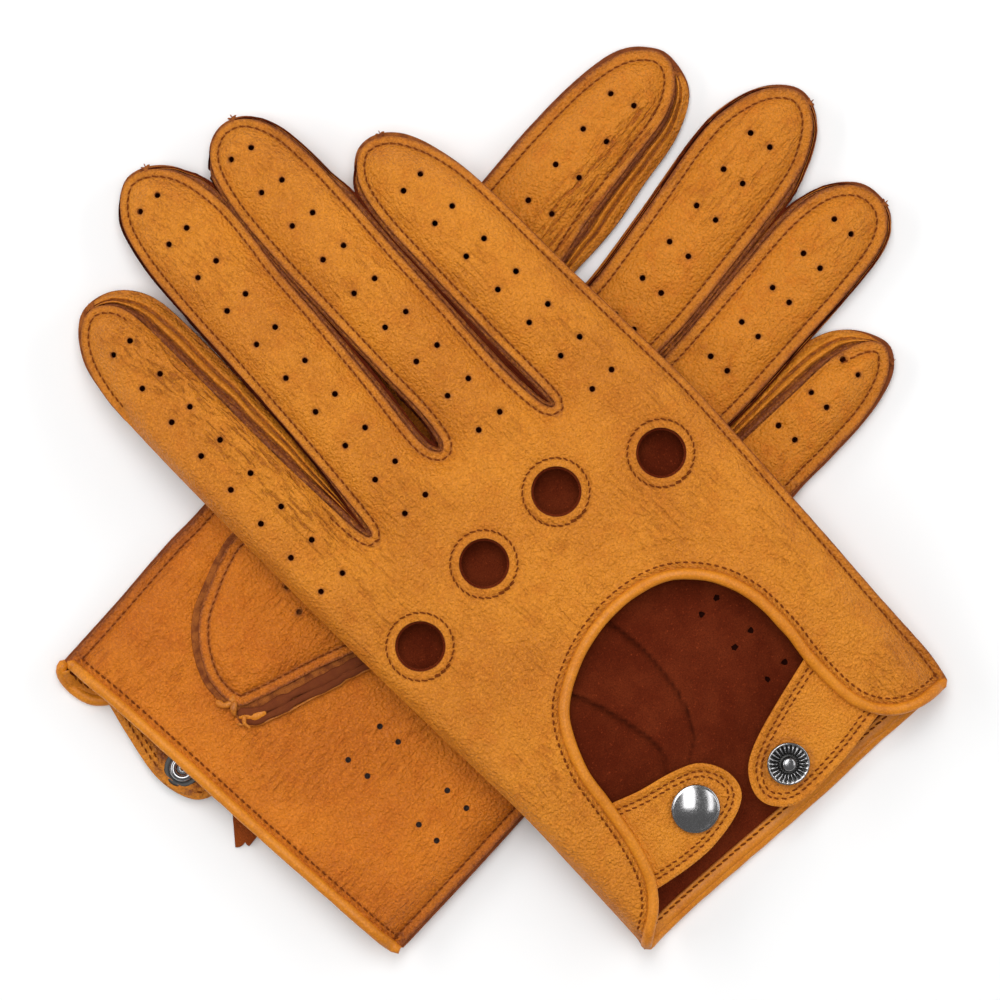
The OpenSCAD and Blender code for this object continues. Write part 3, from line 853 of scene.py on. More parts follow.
RIGHT_PALM_HOLES = [((-42, 200), (-36, 200), (-43, 130), (-36.4, 130), 7),
                    ((-10, 218), (-4, 218), (-14, 134), (-8, 134), 8),
                    ((15.3, 212), (21, 212), (12, 130), (18, 130), 8),
                    ((40, 180), (46, 180), (38.3, 122), (45.1, 122), 6),
                    ((18, 52), (23.5, 52.3), (18.3, 28.8), (24.3, 28.8), 3),
                    ((38.8, 40.2), (45.3, 40), (39, 28.6), (45, 28.5), 2)]


def hole_places(lines):
    out = []
    for *corners, rows in lines:
        a0, b0, a1, b1 = np.array(corners)
        for t in np.linspace(0, 1, rows):
            out += [a0 * (1 - t) + a1 * t, b0 * (1 - t) + b1 * t]
    return np.array(out)


def ring(centre, radius, sides):
    a = np.linspace(0, 2 * np.pi, sides, endpoint=False)
    return np.column_stack([centre[0] + radius * np.cos(a), centre[1] + radius * np.sin(a)])


# ---------------------------------------------------------------- panels
class Panel:
    """The back or the palm of a glove with its fingers: a sewn edge, a cut edge at the wrist, and holes."""

    def __init__(self, glove, kind, up, seam, cut, holes, pits, big_holes, materials):
        self.glove, self.kind, self.up, self.materials = glove, kind, up, materials
        self.seam, self.cut = spline(seam, SEAM_STEP), spline(cut, SEAM_STEP)
        self.tips = [int(away_from(self.seam, p).argmin()) for p in TIPS[glove.hand]]
        self.slits = [int(away_from(self.seam, p).argmin()) for p in SLITS]
        n = np.arange(len(self.seam))
        first, last = self.tips[0], self.tips[3]
        self.side = onset((first - n) / 7) + onset((n - last) / 7)
        self.finger_of = 1 + np.searchsorted(self.slits, n)
        self.on_top = up > 0 and glove.lies_on_other
        self.flange = NARROW_FLANGE if self.on_top else FLANGE
        self.rolled = np.zeros(len(n))
        self.plain = np.zeros(len(n))
        if self.on_top:
            # On the index finger the outer seam lies rolled under the glove, and the inner one is drawn in
            # out of sight.
            self.rolled = (n < first) * onset((190 - self.seam[:, 1]) / 3)
            drawn_in = onset((n - first - 14) / 1.5) * onset((self.slits[0] - 12 - n) / 1.5)
            self.plain = np.maximum(self.rolled, drawn_in)
        elif up > 0:        # and so it is on the other glove's little finger
            self.plain = onset((n - self.slits[2]) / 1.5) * onset((last - 12 - n) / 1.5)
        self.holes, self.pits, self.big_holes = holes, pits, big_holes
        self.pit_r = 0.65 if up > 0 else 0.38
        self.seed = (3 if up > 0 else 11) + (0 if glove.hand == "right" else 20)

    def puff(self, y):
        """How much fuller than the CAD's flat glove it lies: most in the fingers, not at all underneath."""
        if self.up < 0:
            return np.zeros(len(y))
        if self.on_top:
            return 0.5 + 1.1 * onset((y - 118) / 6)
        return 1.6 * onset((y - 168) / 4) - 0.1

    def height(self, p, d, which):
        """How far the outer face stands from the seam's level."""
        y = p[:, 1]
        half = (self.glove.high(y) - self.glove.low(y)) / 2
        side, rolled, plain = self.side[which], self.rolled[which], self.plain[which]
        edge = SEAM_H * side + 0.62 * half * (1 - side)
        edge = edge * (1 - rolled) + 0.3 * rolled
        t = np.clip((d - self.flange * (1 - plain)) / (ROUND - 3 * plain), 0, 1)
        h = edge + (half + self.puff(y) - edge) * (1 - (1 - t) ** (2.4 + 0.5 * plain))
        h += 0.1 * bump(d / 0.9) - 0.32 * bump((d - self.flange) / 0.6) * (1 - plain)
        for high, at, wide in ((0.3, 2.1, 0.5), (-0.25, 1.5, 0.35), (-0.3, 2.9, 0.5)):
            h += high * bump((distance(p, self.cut) - at) / wide)
        return h + self.creases(p, d, which) * np.clip(d / self.flange, 0, 1)

    def creases(self, p, d, which):
        x, y = p.T
        seed = self.seed
        w = 0.26 * noise(x / 19, y / 19, seed) + 0.13 * noise(x / 7.5, y / 7.5, seed + 1)
        w += 0.2 * noise(which * SEAM_STEP / 2.7, d / 40, seed + 2) * bump((d - self.flange - 1.4) / 2.2)
        on_finger = onset((y - 128) / 4)
        w += on_finger * 0.16 * noise(x / 10 + y / 30, y / 2.8, seed + 3) * bump((d - 5) / 4)
        w += 0.15 * noise((x + y) / 4.4, (x - y) / 2.2, seed + 4)
        if self.on_top:        # drawn in round the top of the opening
            to_cut, at = nearest(p, self.cut)
            w += 0.4 * noise(to_cut / 1.9, at / 11.0, seed + 5) * bump((to_cut - 10) / 8) * (y > 40)
        return w

    def z_at(self, p, d, which):
        z = self.glove.mid(p[:, 1]) + self.up * self.height(p, d, which)
        if len(self.holes):
            z -= self.up * 0.28 * bump((distance(p, self.holes) - HOLE_R) / 0.9)
        return np.maximum(z, 0.06 if self.up < 0 else 0.9)

    def z(self, p):
        return self.z_at(p, *nearest(p, self.seam))

    def on(self, path, lift=0.0):
        """A path in plan, laid on the panel's outer face."""
        z = self.z(path) + self.up * lift
        return np.column_stack([path, np.maximum(z, 0.3) if self.up < 0 else z])

    def tone(self, p, d, which):
        """How brown the grain side is: in the seams, round the holes and where it has wear."""
        x, y = p.T
        blotch = 0.7 + 0.5 * noise(x / 6, y / 6, self.seed + 7)
        rough = 0.75 + 0.5 * noise(which / 4.0, d / 1.5, self.seed + 8)
        edge = 0.14 if self.glove.lies_on_other else 0.12
        tone = 0.55 * bump((d - self.flange) / 0.42) + 0.4 * np.exp(-d / 0.35)
        tone += 0.1 * bump(d / 4.5) * blotch + edge * rough * onset((self.flange - 0.3 - d) / 0.15)
        tone *= 1 - self.plain[which]
        if not self.glove.lies_on_other:
            tone += 0.2 * rough * onset((0.9 - d) / 0.2)
            tone += 0.2 * self.side[which] * bump(d / 2.2) * (y < 155)
        to_cut = distance(p, self.cut)
        tone += 0.5 * bump((to_cut - 1.55) / 0.4) + 0.5 * bump((to_cut - 2.8) / 0.35)
        if len(self.holes):
            tone += 0.45 * bump((distance(p, self.holes) - HOLE_R) / 0.3)
        for k in self.big_holes:
            r = away_from(p, k)
            tone += 0.35 * bump((r - KNUCKLE_STITCH_R) / 0.5) + 0.2 * bump((r - KNUCKLE_R) / 0.3)
        return np.clip(tone, 0, 1)

    def build(self, ridges=None):
        loops = [np.vstack([self.seam[:-1], self.cut[:-1]])]
        loops += [ring(k, KNUCKLE_R, KNUCKLE_SIDES) for k in self.big_holes]
        loops += [ring(h, HOLE_R, HOLE_SIDES) for h in self.holes]
        pits = [ring(h, r, HOLE_SIDES) for h in self.pits for r in (self.pit_r, self.pit_r + 0.2)]
        rows = [0.7] + [self.flange + k for k in (-0.6, 0, 0.6, 1.5)]
        xy, faces = filled(loops, GRID, rows, pits)
        d, which = nearest(xy, self.seam)
        z = self.z_at(xy, d, which)
        for k in self.big_holes:
            r = away_from(xy, k)
            z -= self.up * (0.3 * bump((r - KNUCKLE_STITCH_R) / 0.8) - 0.15 * bump((r - 7.2) / 0.8))
        shift, lines = ridges(xy) if ridges else (np.zeros(len(xy)), 0)
        tone = np.clip(self.tone(xy, d, which) + lines, 0, 1)
        if len(self.pits):      # punched holes that have closed up in the soft palm: a pit from either side, its inside painted near black as painted shadow
            pit = distance(xy, self.pits) < self.pit_r + 0.05
            z -= self.up * 0.3 * pit
            shift = shift + self.up * 0.6 * pit
            tone = np.where(pit, 2.0, tone)
        glove, hand, kind = self.glove, self.glove.hand, self.kind
        raw = d < self.flange + 0.1
        sheet = leather_sheet(xy, faces, z, self.up, LEATHER, tone, self.finger_of[which], shift, raw=raw)
        for k, points, fs, slots, tones, normals in sheet:
            finger = FINGERS[k - 1] if k else None
            name = f"{hand}_{finger}_{kind}" if k else f"{hand}_{kind}"
            node = f"{hand}_{finger}_tip_{kind}" if k else f"{hand}_{kind}_panel"
            obj = make_object(name, glove, points, fs, slots, tones, self.materials, normals)
            put(obj, glove, finger, stands_for=[node])

    def sew(self):
        """The stitches round the whole seam, in runs that are each on the hand or on one finger."""
        inner = shifted(self.seam, -self.flange)
        part = np.where(self.seam[:, 1] > CUT_Y, self.finger_of, 0)
        part[self.plain >= 0.5] = -1
        builds = {}
        for run in np.split(np.arange(len(part)), np.flatnonzero(np.diff(part)) + 1):
            key = int(part[run[0]])
            if key >= 0 and len(run) > 5:
                path = self.on(inner[run[0]:run[-1] + 2], 0.1)
                build = builds.setdefault(key, Build())
                stitches(build, path, (0, 0, self.up), seed=key + self.seed)
        for key, build in builds.items():
            finger = FINGERS[key - 1] if key else None
            name = f"{self.glove.hand}_{self.kind}_{finger or 'hand'}_stitches"
            build.lay(name, self.glove, [THREAD], finger)


def fourchettes(glove, upper, lower):
    """The strips between the fingers. Each joins the two panels' edges along one side of one finger."""
    for i in range(3):
        runs = []
        for ua, ub, la, lb in ((upper.tips[i], upper.slits[i], lower.tips[i], lower.slits[i]),
                               (upper.slits[i], upper.tips[i + 1], lower.slits[i], lower.tips[i + 1])):
            u, low = upper.seam[ua:ub + 1], lower.seam[la:lb + 1]
            count = max(len(u), len(low))
            runs.append((by_count(u, count), by_count(low, count)))
        for half in (0, 1):
            rows = strip_rows(upper, lower, runs[half], runs[1 - half], half, 31 + 2 * i + half)
            strip(glove, rows, i + half, i, half)


def strip_rows(upper, lower, own, facing, half, seed):
    """Lines along a strip, from the upper panel's edge to the lower one's, with how brown each one is; a
    wide strip's valley between its folds is browner as painted shade.

    The strips on the two sides of a gap bulge until they meet, and a wide strip lies in folds.
    """
    u, low = own
    count = len(u)
    n = np.arange(count)
    out = leftwards(u)
    zu, zl = upper.z(u), lower.z(low)
    from_tip = (n if half == 0 else n[::-1]) * SEAM_STEP
    full = np.clip(from_tip / 12, 0, 1)
    at_crotch = bump(((count - 1) * SEAM_STEP - from_tip) / 4)
    gap_u, across = nearest(u, facing[0])
    gap_low = distance(low, facing[1])
    wide = np.clip(away_from(u, low) / 5, 0, 1)
    beside = np.clip(away_from(*facing)[across] / 5, 0, 1)
    fold = np.clip(1.4 * wide, 0, 1) * full
    wob = 0.3 * noise_along(n / 6, seed) * wide * full
    open_wide = np.clip(2 * wide, 0, 1)

    def row(v, most, up, brown, brown_wide):
        gap = gap_u * (1 - v) + gap_low * v
        near = np.clip((7 - gap) / 3, 0, 1)
        most_open = (0.5 + (1.5 - v) * near) * (1 - 0.4 * wide) * (1 - 0.7 * beside)
        reach = np.maximum(np.minimum(0.5 * gap + 0.06, most_open), 1.5 * at_crotch)
        outwards = np.minimum(most, reach * full) - 0.9 * (1 - full) + (wob if 0.2 < v < 0.9 else 0)
        xy = u * (1 - v) + low * v + outwards[:, None] * out
        tone = brown * (1 - open_wide) + brown_wide * open_wide
        return np.column_stack([xy, zu * (1 - v) + zl * v + up, tone])

    # How far down the strip, the most it may stand out, how far up, and how brown, narrow and wide.
    free = 9
    return [row(0.0, -1.2, -1.1, 0.9, 0.9),
            row(0.0, 0.15, -0.95, 0.9, 0.95),
            row(0.03, 0.6, -0.4, 0.85, 1.0),
            row(0.14, 1.0 + 0.6 * wide, -0.6, 0.85, 1.0),
            row(0.22, free, -1.1 - 0.3 * fold, 0.85, 0.9),
            row(0.32, free, -0.3 + 0.9 * fold, 0.85, 0.05),
            row(0.42, free, 0.5 * fold, 0.85, 0.0),
            # The valley between the wide strip's folds is browner: painted shade.
            row(0.51, free, -0.6 * fold, 0.8, 0.8),
            row(0.62, free, 0.9 * fold, 0.8, 0.0),
            row(0.76, free, 0.8 * fold, 0.8, 0.05),
            row(0.87, free, 0.4 + 0.1 * fold, 0.8, 0.5),
            row(0.96, 0.35, 0.9, 0.75, 0.3),
            row(1.0, 0.2, 0.92, 0.8, 0.75)]


FOURCHETTE_T = 0.6
FOURCHETTE_LANES = 45


def strip(glove, rows, finger, slit, half):
    """One side's fourchette: a sheet through the rows of points, with suede behind and raw long edges."""
    fine = np.stack([by_count(spline(r, 0.4), FOURCHETTE_LANES) for r in np.stack(rows, axis=1)])
    count, wide = fine.shape[:2]
    points = fine[:, :, :3].reshape(-1, 3)
    quads = lattice(count, wide, round_columns=False)
    n = mesh_normals(points, np.vstack([quads[:, :3], quads[:, [0, 2, 3]]]))
    faces = [f[:, ::-1] for f in two_sided(quads, count, wide)]
    across = np.linspace(-1, 1, wide)[None]
    along = np.linspace(0, count / 6, count)[:, None]
    fuzz = 0.92 + 0.3 * noise(along * 6, across * 14, 37 + finger)
    tone = (fine[:, :, 3] * fuzz + 0.05 * noise(along, across * 12, 39)).clip(0, 1).ravel()
    build = Build()
    build.add(np.vstack([points, points + n * FOURCHETTE_T]), np.vstack(faces),
              np.repeat([0, 1, 2], [len(f) for f in faces]), np.tile(tone, 2))
    hand, name = glove.hand, FINGERS[finger]
    nodes = [f"{hand}_{name}_tip_fourchette"]
    if half == 0:
        nodes.append(f"{hand}_{FINGERS[slit]}_fourchette")
    place = "high" if half == 0 else "low"
    build.lay(f"{hand}_{name}_fourchette_{place}", glove, SHEET, name, stands_for=nodes)


# ---------------------------------------------------------------- bindings and hems
def bound_edge(panel, node, wide=2.9, high=2.5):
    """The rolled binding along a panel's cut edge."""
    path = panel.on(panel.cut, -0.15)
    if panel.up < 0:
        path[:, 2] = np.maximum(path[:, 2], high / 2 + 0.1)
    wobble = 1 + 0.05 * noise_along(np.arange(len(path)) / 4.0, 41)
    build = Build()
    build.add(*tube(path, wide * wobble, high * wobble, sides=16))
    name = f"{panel.glove.hand}_{node}"
    build.lay(name, panel.glove, [BINDING_TAN], stands_for=[name], slot="strap_leather")


def edge_stitches(panel, name):
    """The ridge that the binding's seam makes beside it, drawn in slantwise, and the stitches past it."""
    whole = [np.vstack([panel.seam[:-1], panel.cut[:-1]])]
    rows = [("stitches", THREAD, "tan_leather", 2.8, 0.16, 1.5, 0.26, 0.12),
            ("ridge", panel.materials[0], "strap_leather", 2.15, -0.1, 2.0, 0.3, 0.42)]
    for k, (kind, material, slot, inset, lift, length, radius, slant) in enumerate(rows):
        path = shifted(panel.cut, -inset)
        path = path[inside(path, whole) & (distance(path, panel.seam) > 1.4)]
        build = Build()
        stitches(build, panel.on(path, lift), (0, 0, panel.up), 1.95, length, radius, slant, seed=50 + k)
        build.lay(f"{panel.glove.hand}_{name}_{kind}", panel.glove, [material], slot=slot)


def turned_hem(panel, width=3.7, trim=3):
    """The strip of the binding that is turned to the inside of a panel, and its stitches."""
    glove, up = panel.glove, panel.up
    edge = panel.cut[trim:-trim]
    across = np.linspace(0, 1, 7)
    inwards = LEATHER + 0.75 - 0.3 * across - 0.3 * bump((across - 0.74) / 0.12)
    inwards[-1] -= 0.25
    lanes = []
    for t, deep in zip(across, inwards):
        path = shifted(edge, -t * width)
        lanes.append(np.column_stack([path, panel.z(path) - up * deep]))
    rows = np.stack(lanes, axis=1)
    count, wide = rows.shape[:2]
    points = rows.reshape(-1, 3)
    outer, inner, rim = two_sided(lattice(count, wide, round_columns=False), count, wide)
    if mesh_normals(points, outer[:, :3])[:, 2].mean() * up > 0:
        outer, inner = outer[:, ::-1], inner[:, ::-1]
    tone = np.tile([0.12] * (wide - 1) + [0.8], 2 * count)
    build = Build()
    build.add(np.vstack([points, points + [0, 0, up * 0.5]]), np.vstack([outer, inner, rim]), 0, tone)
    name = f"{glove.hand}_{panel.kind}_turned_hem"
    build.lay(name, glove, [BINDING_TAN], slot="strap_leather")
    build = Build()
    row = shifted(edge, -0.68 * width)[2:-2]
    path = np.column_stack([row, panel.z(row) - up * (LEATHER + 0.6)])
    stitches(build, path, (0, 0, -up), seed=61)
    build.lay(f"{name}_stitches", glove, [THREAD])


# ---------------------------------------------------------------- knuckle holes
def knuckle_rings(panel):
    """Under each knuckle hole a facing, and round it a ring of stitches that laps over itself."""
    glove, up = panel.glove, panel.up
    facings, rings = Build(), Build()
    radii = np.array([FACING_R, FACING_R + 0.5, 7.0, 8.2, FACING_OUT_R])
    turn = np.linspace(-1.9, 2 * np.pi - 1.3, 160)
    lap = (KNUCKLE_STITCH_R + np.linspace(-0.18, 0.18, 160))[:, None]
    for k, centre in enumerate(KNUCKLES):
        xy = np.vstack([ring(centre, r, FACING_SIDES) for r in radii])
        lip = bump((np.repeat(radii, FACING_SIDES) - FACING_R) / 0.4)
        z = panel.z(xy) - up * (LEATHER + 0.1 + 0.12 * lip)
        count = len(xy)
        quads = lattice(len(radii), FACING_SIDES)
        points = np.vstack([np.column_stack([xy, z]), np.column_stack([xy, z - up * 0.8])])
        facings.add(points, np.vstack([quads, quads[:, ::-1] + count]), 0)
        a = np.arange(FACING_SIDES)
        b = np.roll(a, -1)
        last = count - FACING_SIDES
        walls = [np.column_stack([a, b, b + count, a + count]),
                 np.column_stack([b, a, a + count, b + count]) + last]
        facings.add(points, np.vstack(walls), 1)
        path = centre + lap * np.column_stack([np.cos(turn), np.sin(turn)])
        stitches(rings, panel.on(path), (0, 0, up), pitch=1.75, length=1.5, radius=0.21, seed=70 + k)
    name = f"{glove.hand}_knuckle_facings"
    facings.lay(name, glove, [SUEDE, EDGE], stands_for=[name])
    rings.lay(f"{glove.hand}_knuckle_stitches", glove, [THREAD])


# ---------------------------------------------------------------- thumbs
THUMB_OUTER = [
    (-14.5, 21.4), (-19, 20.4), (-25, 21.6), (-31.4, 25.6), (-36.4, 31.2), (-39.4, 38), (-42, 46),
    (-42.6, 54), (-38, 72), (-22, 98), (-5, 117), (8, 123), (17, 117), (18, 105), (9, 78), (0.4, 55),
    (-5.4, 42), (-9.4, 32), (-12.4, 25)]
THUMB_INNER = [
    (-15.6, 19.2), (-21, 19), (-26.6, 20.5), (-32.8, 24.5), (-37.8, 30.2), (-40.8, 37.5), (-43.3, 46),
    (-43.9, 54), (-38.6, 72), (-22.6, 98), (-5.4, 117.6), (8, 123.8), (17.8, 117.6), (19, 105),
    (11.4, 78), (4, 52), (-0.6, 42), (-5, 31), (-7.6, 23.4), (-10.4, 18.6)]
THUMB_STITCH_IN = 2.4
THUMB_LIMIT = {"right": 11.15, "left": 10.75}
THUMB_HOLES = [((-25, 51.5), (-18.6, 48.7), (-11.4, 85.5), (-5, 82.7), 4)]


def thumb_sheet(panel, layer, outline, holes, lift, fullness, grain, edge_tone):
    """One layer of the thumb, which lies folded on the palm."""
    glove, up = panel.glove, panel.up
    loop = spline(outline, 1.0, closed=True)[:-1]
    loops = [loop] + [ring(h, HOLE_R, HOLE_SIDES) for h in holes]
    xy, faces = filled(loops, GRID, (0.8, 1.65, 2.4, 3.15))
    d, which = nearest(xy, loop)
    x, y = xy.T
    rise = 1 - (1 - np.clip((d - THUMB_STITCH_IN) / 5.0, 0, 1)) ** 2.2
    free = onset((45 - y) / 2.5)
    h = lift + fullness * rise * (1 + 0.35 * free)
    h -= 0.3 * bump((d - THUMB_STITCH_IN) / 0.7) * (fullness > 0)
    h += 0.16 * noise(x / 3.2, y / 7, 91) * rise
    h += 0.12 * noise(which / 2.4, d / 30, 92) * bump((d - 3.6) / 2)
    h += 0.35 * noise_along(which / 3.1, 94) * np.exp(-d / 1.2) * free
    z = glove.mid(y) + up * (panel.height(xy, *nearest(xy, panel.seam)) + h)
    limit = THUMB_LIMIT[glove.hand]
    z = np.where(y > 50, np.minimum(z, limit) if up > 0 else np.maximum(z, limit), z)
    tone = 0.6 * bump((d - THUMB_STITCH_IN) / 0.5) + edge_tone * np.exp(-d / 0.45) + 0.16 * bump(d / 4)
    if len(holes):
        tone += 0.6 * bump((distance(xy, holes) - HOLE_R) / 0.35)
    name = f"{glove.hand}_thumb_{layer}"
    lay_sheet(name, glove, [grain, SUEDE, EDGE], xy, faces, z, up, LEATHER * 0.9, tone, stands_for=[name])
    return loop, xy, z


# The folded gusset beside the thumb's free edge: how far its folds lie from it, how wide and high they are,
# their slots and their lift.
GUSSET_PATH = [(-13.2, 19.4), (-9.6, 22.6), (-6.8, 29), (-3.2, 38), (0.4, 47), (4, 56)]
GUSSET_FOLDS = [(0.5, 2.4, 1.1, 0, 1.7), (-1.3, 2.2, 1.1, 0, 1.45), (-2.4, 0.7, 0.6, 1, 1.2)]
# The curled ends of leather at the thumb's point: how wide, how brown, and their paths.
THUMB_TAILS = [(2.6, 0.35, [(-17.6, 22.4), (-16.6, 20.4), (-17.6, 18.6), (-19.8, 18.4)]),
               (2.4, 0.1, [(-8.6, 24.6), (-9.8, 21.6), (-12, 20.2), (-12.4, 18.8)]),
               (2.0, 0.5, [(-16, 21.6), (-15, 19.6), (-13.6, 18.6)]),
               (1.4, 0.3, [(-12, 20.4), (-10.6, 18.8), (-8.6, 18.9)])]


def thumb(panel):
    glove, up, hand = panel.glove, panel.up, panel.glove.hand
    thumb_sheet(panel, "inner", THUMB_INNER, np.empty((0, 2)), 0.95, 0.0, EDGE, 0.3)
    loop, xy, z = thumb_sheet(panel, "outer", THUMB_OUTER, hole_places(THUMB_HOLES), 1.85, 1.25,
                              panel.materials[0], 0.7)
    side = 1 if leftwards(loop)[0] @ (loop.mean(axis=0) - loop[0]) > 0 else -1
    path = shifted(np.vstack([loop, loop[:1]]), side * THUMB_STITCH_IN)
    build = Build()
    stitches(build, np.column_stack([path, z[nearest(path, xy)[1]] + up * 0.02]), (0, 0, up), seed=81)
    build.lay(f"{hand}_thumb_stitches", glove, [THREAD])
    build = Build()
    fold = spline(GUSSET_PATH, 0.8)
    for shift, wide, high, slot, lift in GUSSET_FOLDS:
        n = np.arange(len(fold))
        path = shifted(fold, shift) + 0.45 * noise_along(n / 4.0, 86 + int(shift))[:, None]
        uneven = 1 + 0.3 * noise_along(n / 3, 88)
        points, faces = tube(panel.on(path, lift), wide * uneven, high, sides=10)
        build.add(points, faces, slot, 0.5)
    build.lay(f"{hand}_thumb_gusset", glove, [GUSSET, BINDING_TAN])
    build = Build()
    for k, (wide, tone, tail) in enumerate(THUMB_TAILS):
        path = panel.on(spline(tail, 0.4), 1.6 + 0.2 * k)
        curled_end(build, path, wide, 1.2, 0.55, 0.25, 95 + k, 8, tone)
    build.lay(f"{hand}_thumb_tails", glove, [BINDING_TAN], slot="strap_leather")


# ---------------------------------------------------------------- wrist straps and snaps
STRAP_T = 1.7
STRAP_STITCH_IN = (2.0, 3.3)     # how far in from the edge its two rows of stitches are
CAP_STRAP = [
    (-34, 35.4), (-30.6, 34.5), (-24, 32), (-15, 29.5), (-8.5, 26.2), (-5.2, 20), (-6, 14), (-11, 10.6),
    (-20, 9), (-28, 9.4), (-36.6, 11), (-42, 12.4)]
CAP_CENTRE = (-17.3, 18.9)
STUD_STRAP = [
    (35.4, 3.2), (29, 2.6), (20, 1.3), (8, 0.8), (1, 1.8), (-3.5, 6), (-4.2, 11), (-1, 16.5), (5, 20),
    (15, 23), (27.6, 26), (31.8, 26.8)]
STUD_CENTRE = (7, 10.4)
LEFT_CAP_STRAP = [
    (-34, 22), (-24, 15), (-14, 11), (-6, 6), (-4.6, 0), (-8.4, -5), (-18, -6.6), (-31, -3.4), (-44, 1)]
LEFT_CAP_CENTRE = (-15, -0.5)
LEFT_CAP_Z, LEFT_STUD_Z = 2.6, 2.2


class Strap:
    """A wrist strap with a rolled edge, two rows of stitches and a snap. It may lie face down."""

    def __init__(self, glove, kind, outline, centre, face_z, up, body):
        self.glove, self.kind, self.face_z, self.up, self.body = glove, kind, face_z, up, body
        self.centre = np.array(centre)
        self.edge = spline(outline, 0.9)
        self.name = f"{glove.hand}_{kind}_strap"
        middle = len(self.edge) // 2
        towards_centre = leftwards(self.edge)[middle] @ (self.centre - self.edge[middle])
        self.inward = 1 if towards_centre > 0 else -1

    def root(self, t):
        """Points along the straight root, from the edge's end back to its start."""
        return self.edge[-1] * (1 - t) + self.edge[0] * t

    def z(self, p, d):
        x, y = p.T
        first, second = STRAP_STITCH_IN
        field = 0.55 * bump(d / 1.25) - 0.28 * bump((d - first) / 0.55) - 0.12 * bump((d - second) / 0.4)
        wrinkle = 0.1 * noise(x / 3, y / 4, 101) + 0.06 * noise(x / 1.6, y / 1.6, 102)
        near_snap = bump(away_from(p, self.centre) / 7.5) * 0.15
        tucked = 1.4 * bump(distance(p, self.root(np.linspace(0, 1, 20)[:, None])) / 3.2)
        height = field - 0.35 - tucked + (wrinkle - near_snap) * np.clip(d / 3, 0, 1)
        return self.face_z(y) + self.up * height

    def lay(self, build, name, materials, slot, **fit):
        build.lay(f"{self.glove.hand}_{name}", self.glove, materials, body=self.body, slot=slot, **fit)

    def build(self):
        first, second = STRAP_STITCH_IN
        n_root = max(3, int(np.linalg.norm(self.edge[0] - self.edge[-1])))
        loop = np.vstack([self.edge, self.root(np.linspace(0, 1, n_root + 1)[1:-1, None])])
        xy, faces = filled([loop], 1.0, (0.5, 1.05, 1.6, 2.1, 2.7, 3.3))
        d = distance(xy, self.edge)
        z = self.z(xy, d) - self.up * 0.5 * bump(d / 0.4)
        tone = 0.45 * bump((d - first) / 0.4) + 0.22 * bump((d - second) / 0.4)
        tone += 0.45 * bump((away_from(xy, self.centre) - 6.1) / 0.8)
        if self.up < 0:     # inside its rolled edge its face is painted dark brown: painted shade where it runs in under the hem
            tone += 0.8 * onset((d - 3.9) / 0.3)
        lay_sheet(self.name, self.glove, [STRAP_TAN], xy, faces, z, self.up, STRAP_T - 0.3, tone, 0.35,
                  body=self.body, stands_for=[self.name], slot="strap_leather")
        build = Build()
        clear = 5.6 if self.kind == "stud" else 6.4
        for k, inset in enumerate(STRAP_STITCH_IN):
            path = shifted(self.edge, self.inward * inset)[1:-1]
            path = path[away_from(path, self.centre) > clear]
            z = self.z(path, np.full(len(path), inset)) + self.up * 0.08
            points = np.column_stack([path, z])
            for run in np.split(points, np.flatnonzero(np.diff(arc(points)) > 2.2) + 1):
                if len(run) > 3:
                    for side, sunk, seed in ((self.up, 0, 110 + k), (-self.up, STRAP_T - 0.2, 120 + k)):
                        stitches(build, run - [0, 0, self.up * sunk], (0, 0, side), pitch=1.9, length=1.4,
                                 radius=0.22, seed=seed)
        self.lay(build, f"{self.kind}_strap_stitches", [THREAD], "tan_leather")

    def seat(self):
        """Where the snap sits, and which way it faces."""
        before, here, after = self.face_z(self.centre[1] + np.array([-1.0, 0.0, 1.0]))
        slope = (after - before) / 2
        return np.array([*self.centre, here]), self.up * np.array([0, -slope, 1]) / math.hypot(1, slope)

    def lay_snap(self, build, part, materials):
        name = f"snap_{part}"
        self.lay(build, name, materials, "dark_nickel", stands_for=[f"{self.glove.hand}_{name}"])


CAP_R, CAP_DOME, CAP_SHOULDER = 6.15, 1.95, 0.42
CAP_RIM = [(6.0, 0.72), (6.14, 0.5), (6.16, 0.3), (6.05, 0.1), (5.8, 0.0), (5.2, -0.05)]


def snap_cap(strap):
    """A polished dome with a rolled rim, and the barrel behind it."""
    centre, facing = strap.seat()
    ball = (CAP_R**2 + CAP_DOME**2) / (2 * CAP_DOME)
    dome = [(0.001, CAP_DOME + CAP_SHOULDER)]
    for r in np.linspace(0.6, 5.75, 16):
        dome.append((r, CAP_SHOULDER + CAP_DOME - ball + math.sqrt(ball**2 - r**2)))
    build = Build()
    lathe(build, dome + CAP_RIM, centre, facing, sides=96)
    barrel = [(1.6, -0.04), (1.6, -STRAP_T - 0.4), (1.2, -STRAP_T - 0.55), (0.6, -STRAP_T - 0.6)]
    lathe(build, barrel, centre, facing, sides=32)
    strap.lay_snap(build, "cap", [NICKEL])


RIBS = 24
STUD = [(5.2, 0.0), (5.42, 0.25), (5.42, 0.6), (5.25, 0.88), (4.98, 0.9), (4.78, 0.66), (4.3, 0.62),
        (3.6, 0.58), (3.0, 0.52), (2.65, 0.42), (2.5, 0.1), (2.2, 0.02), (1.9, 0.06), (1.68, 0.3),
        (1.6, 1.2), (1.72, 1.45), (1.62, 1.72), (1.3, 1.9), (0.8, 2.0), (0.001, 2.02)]
STUD_RIBBED, STUD_RECESS = (5, 9), (9, 13)     # which bands of the profile have ribs, and which lie deep


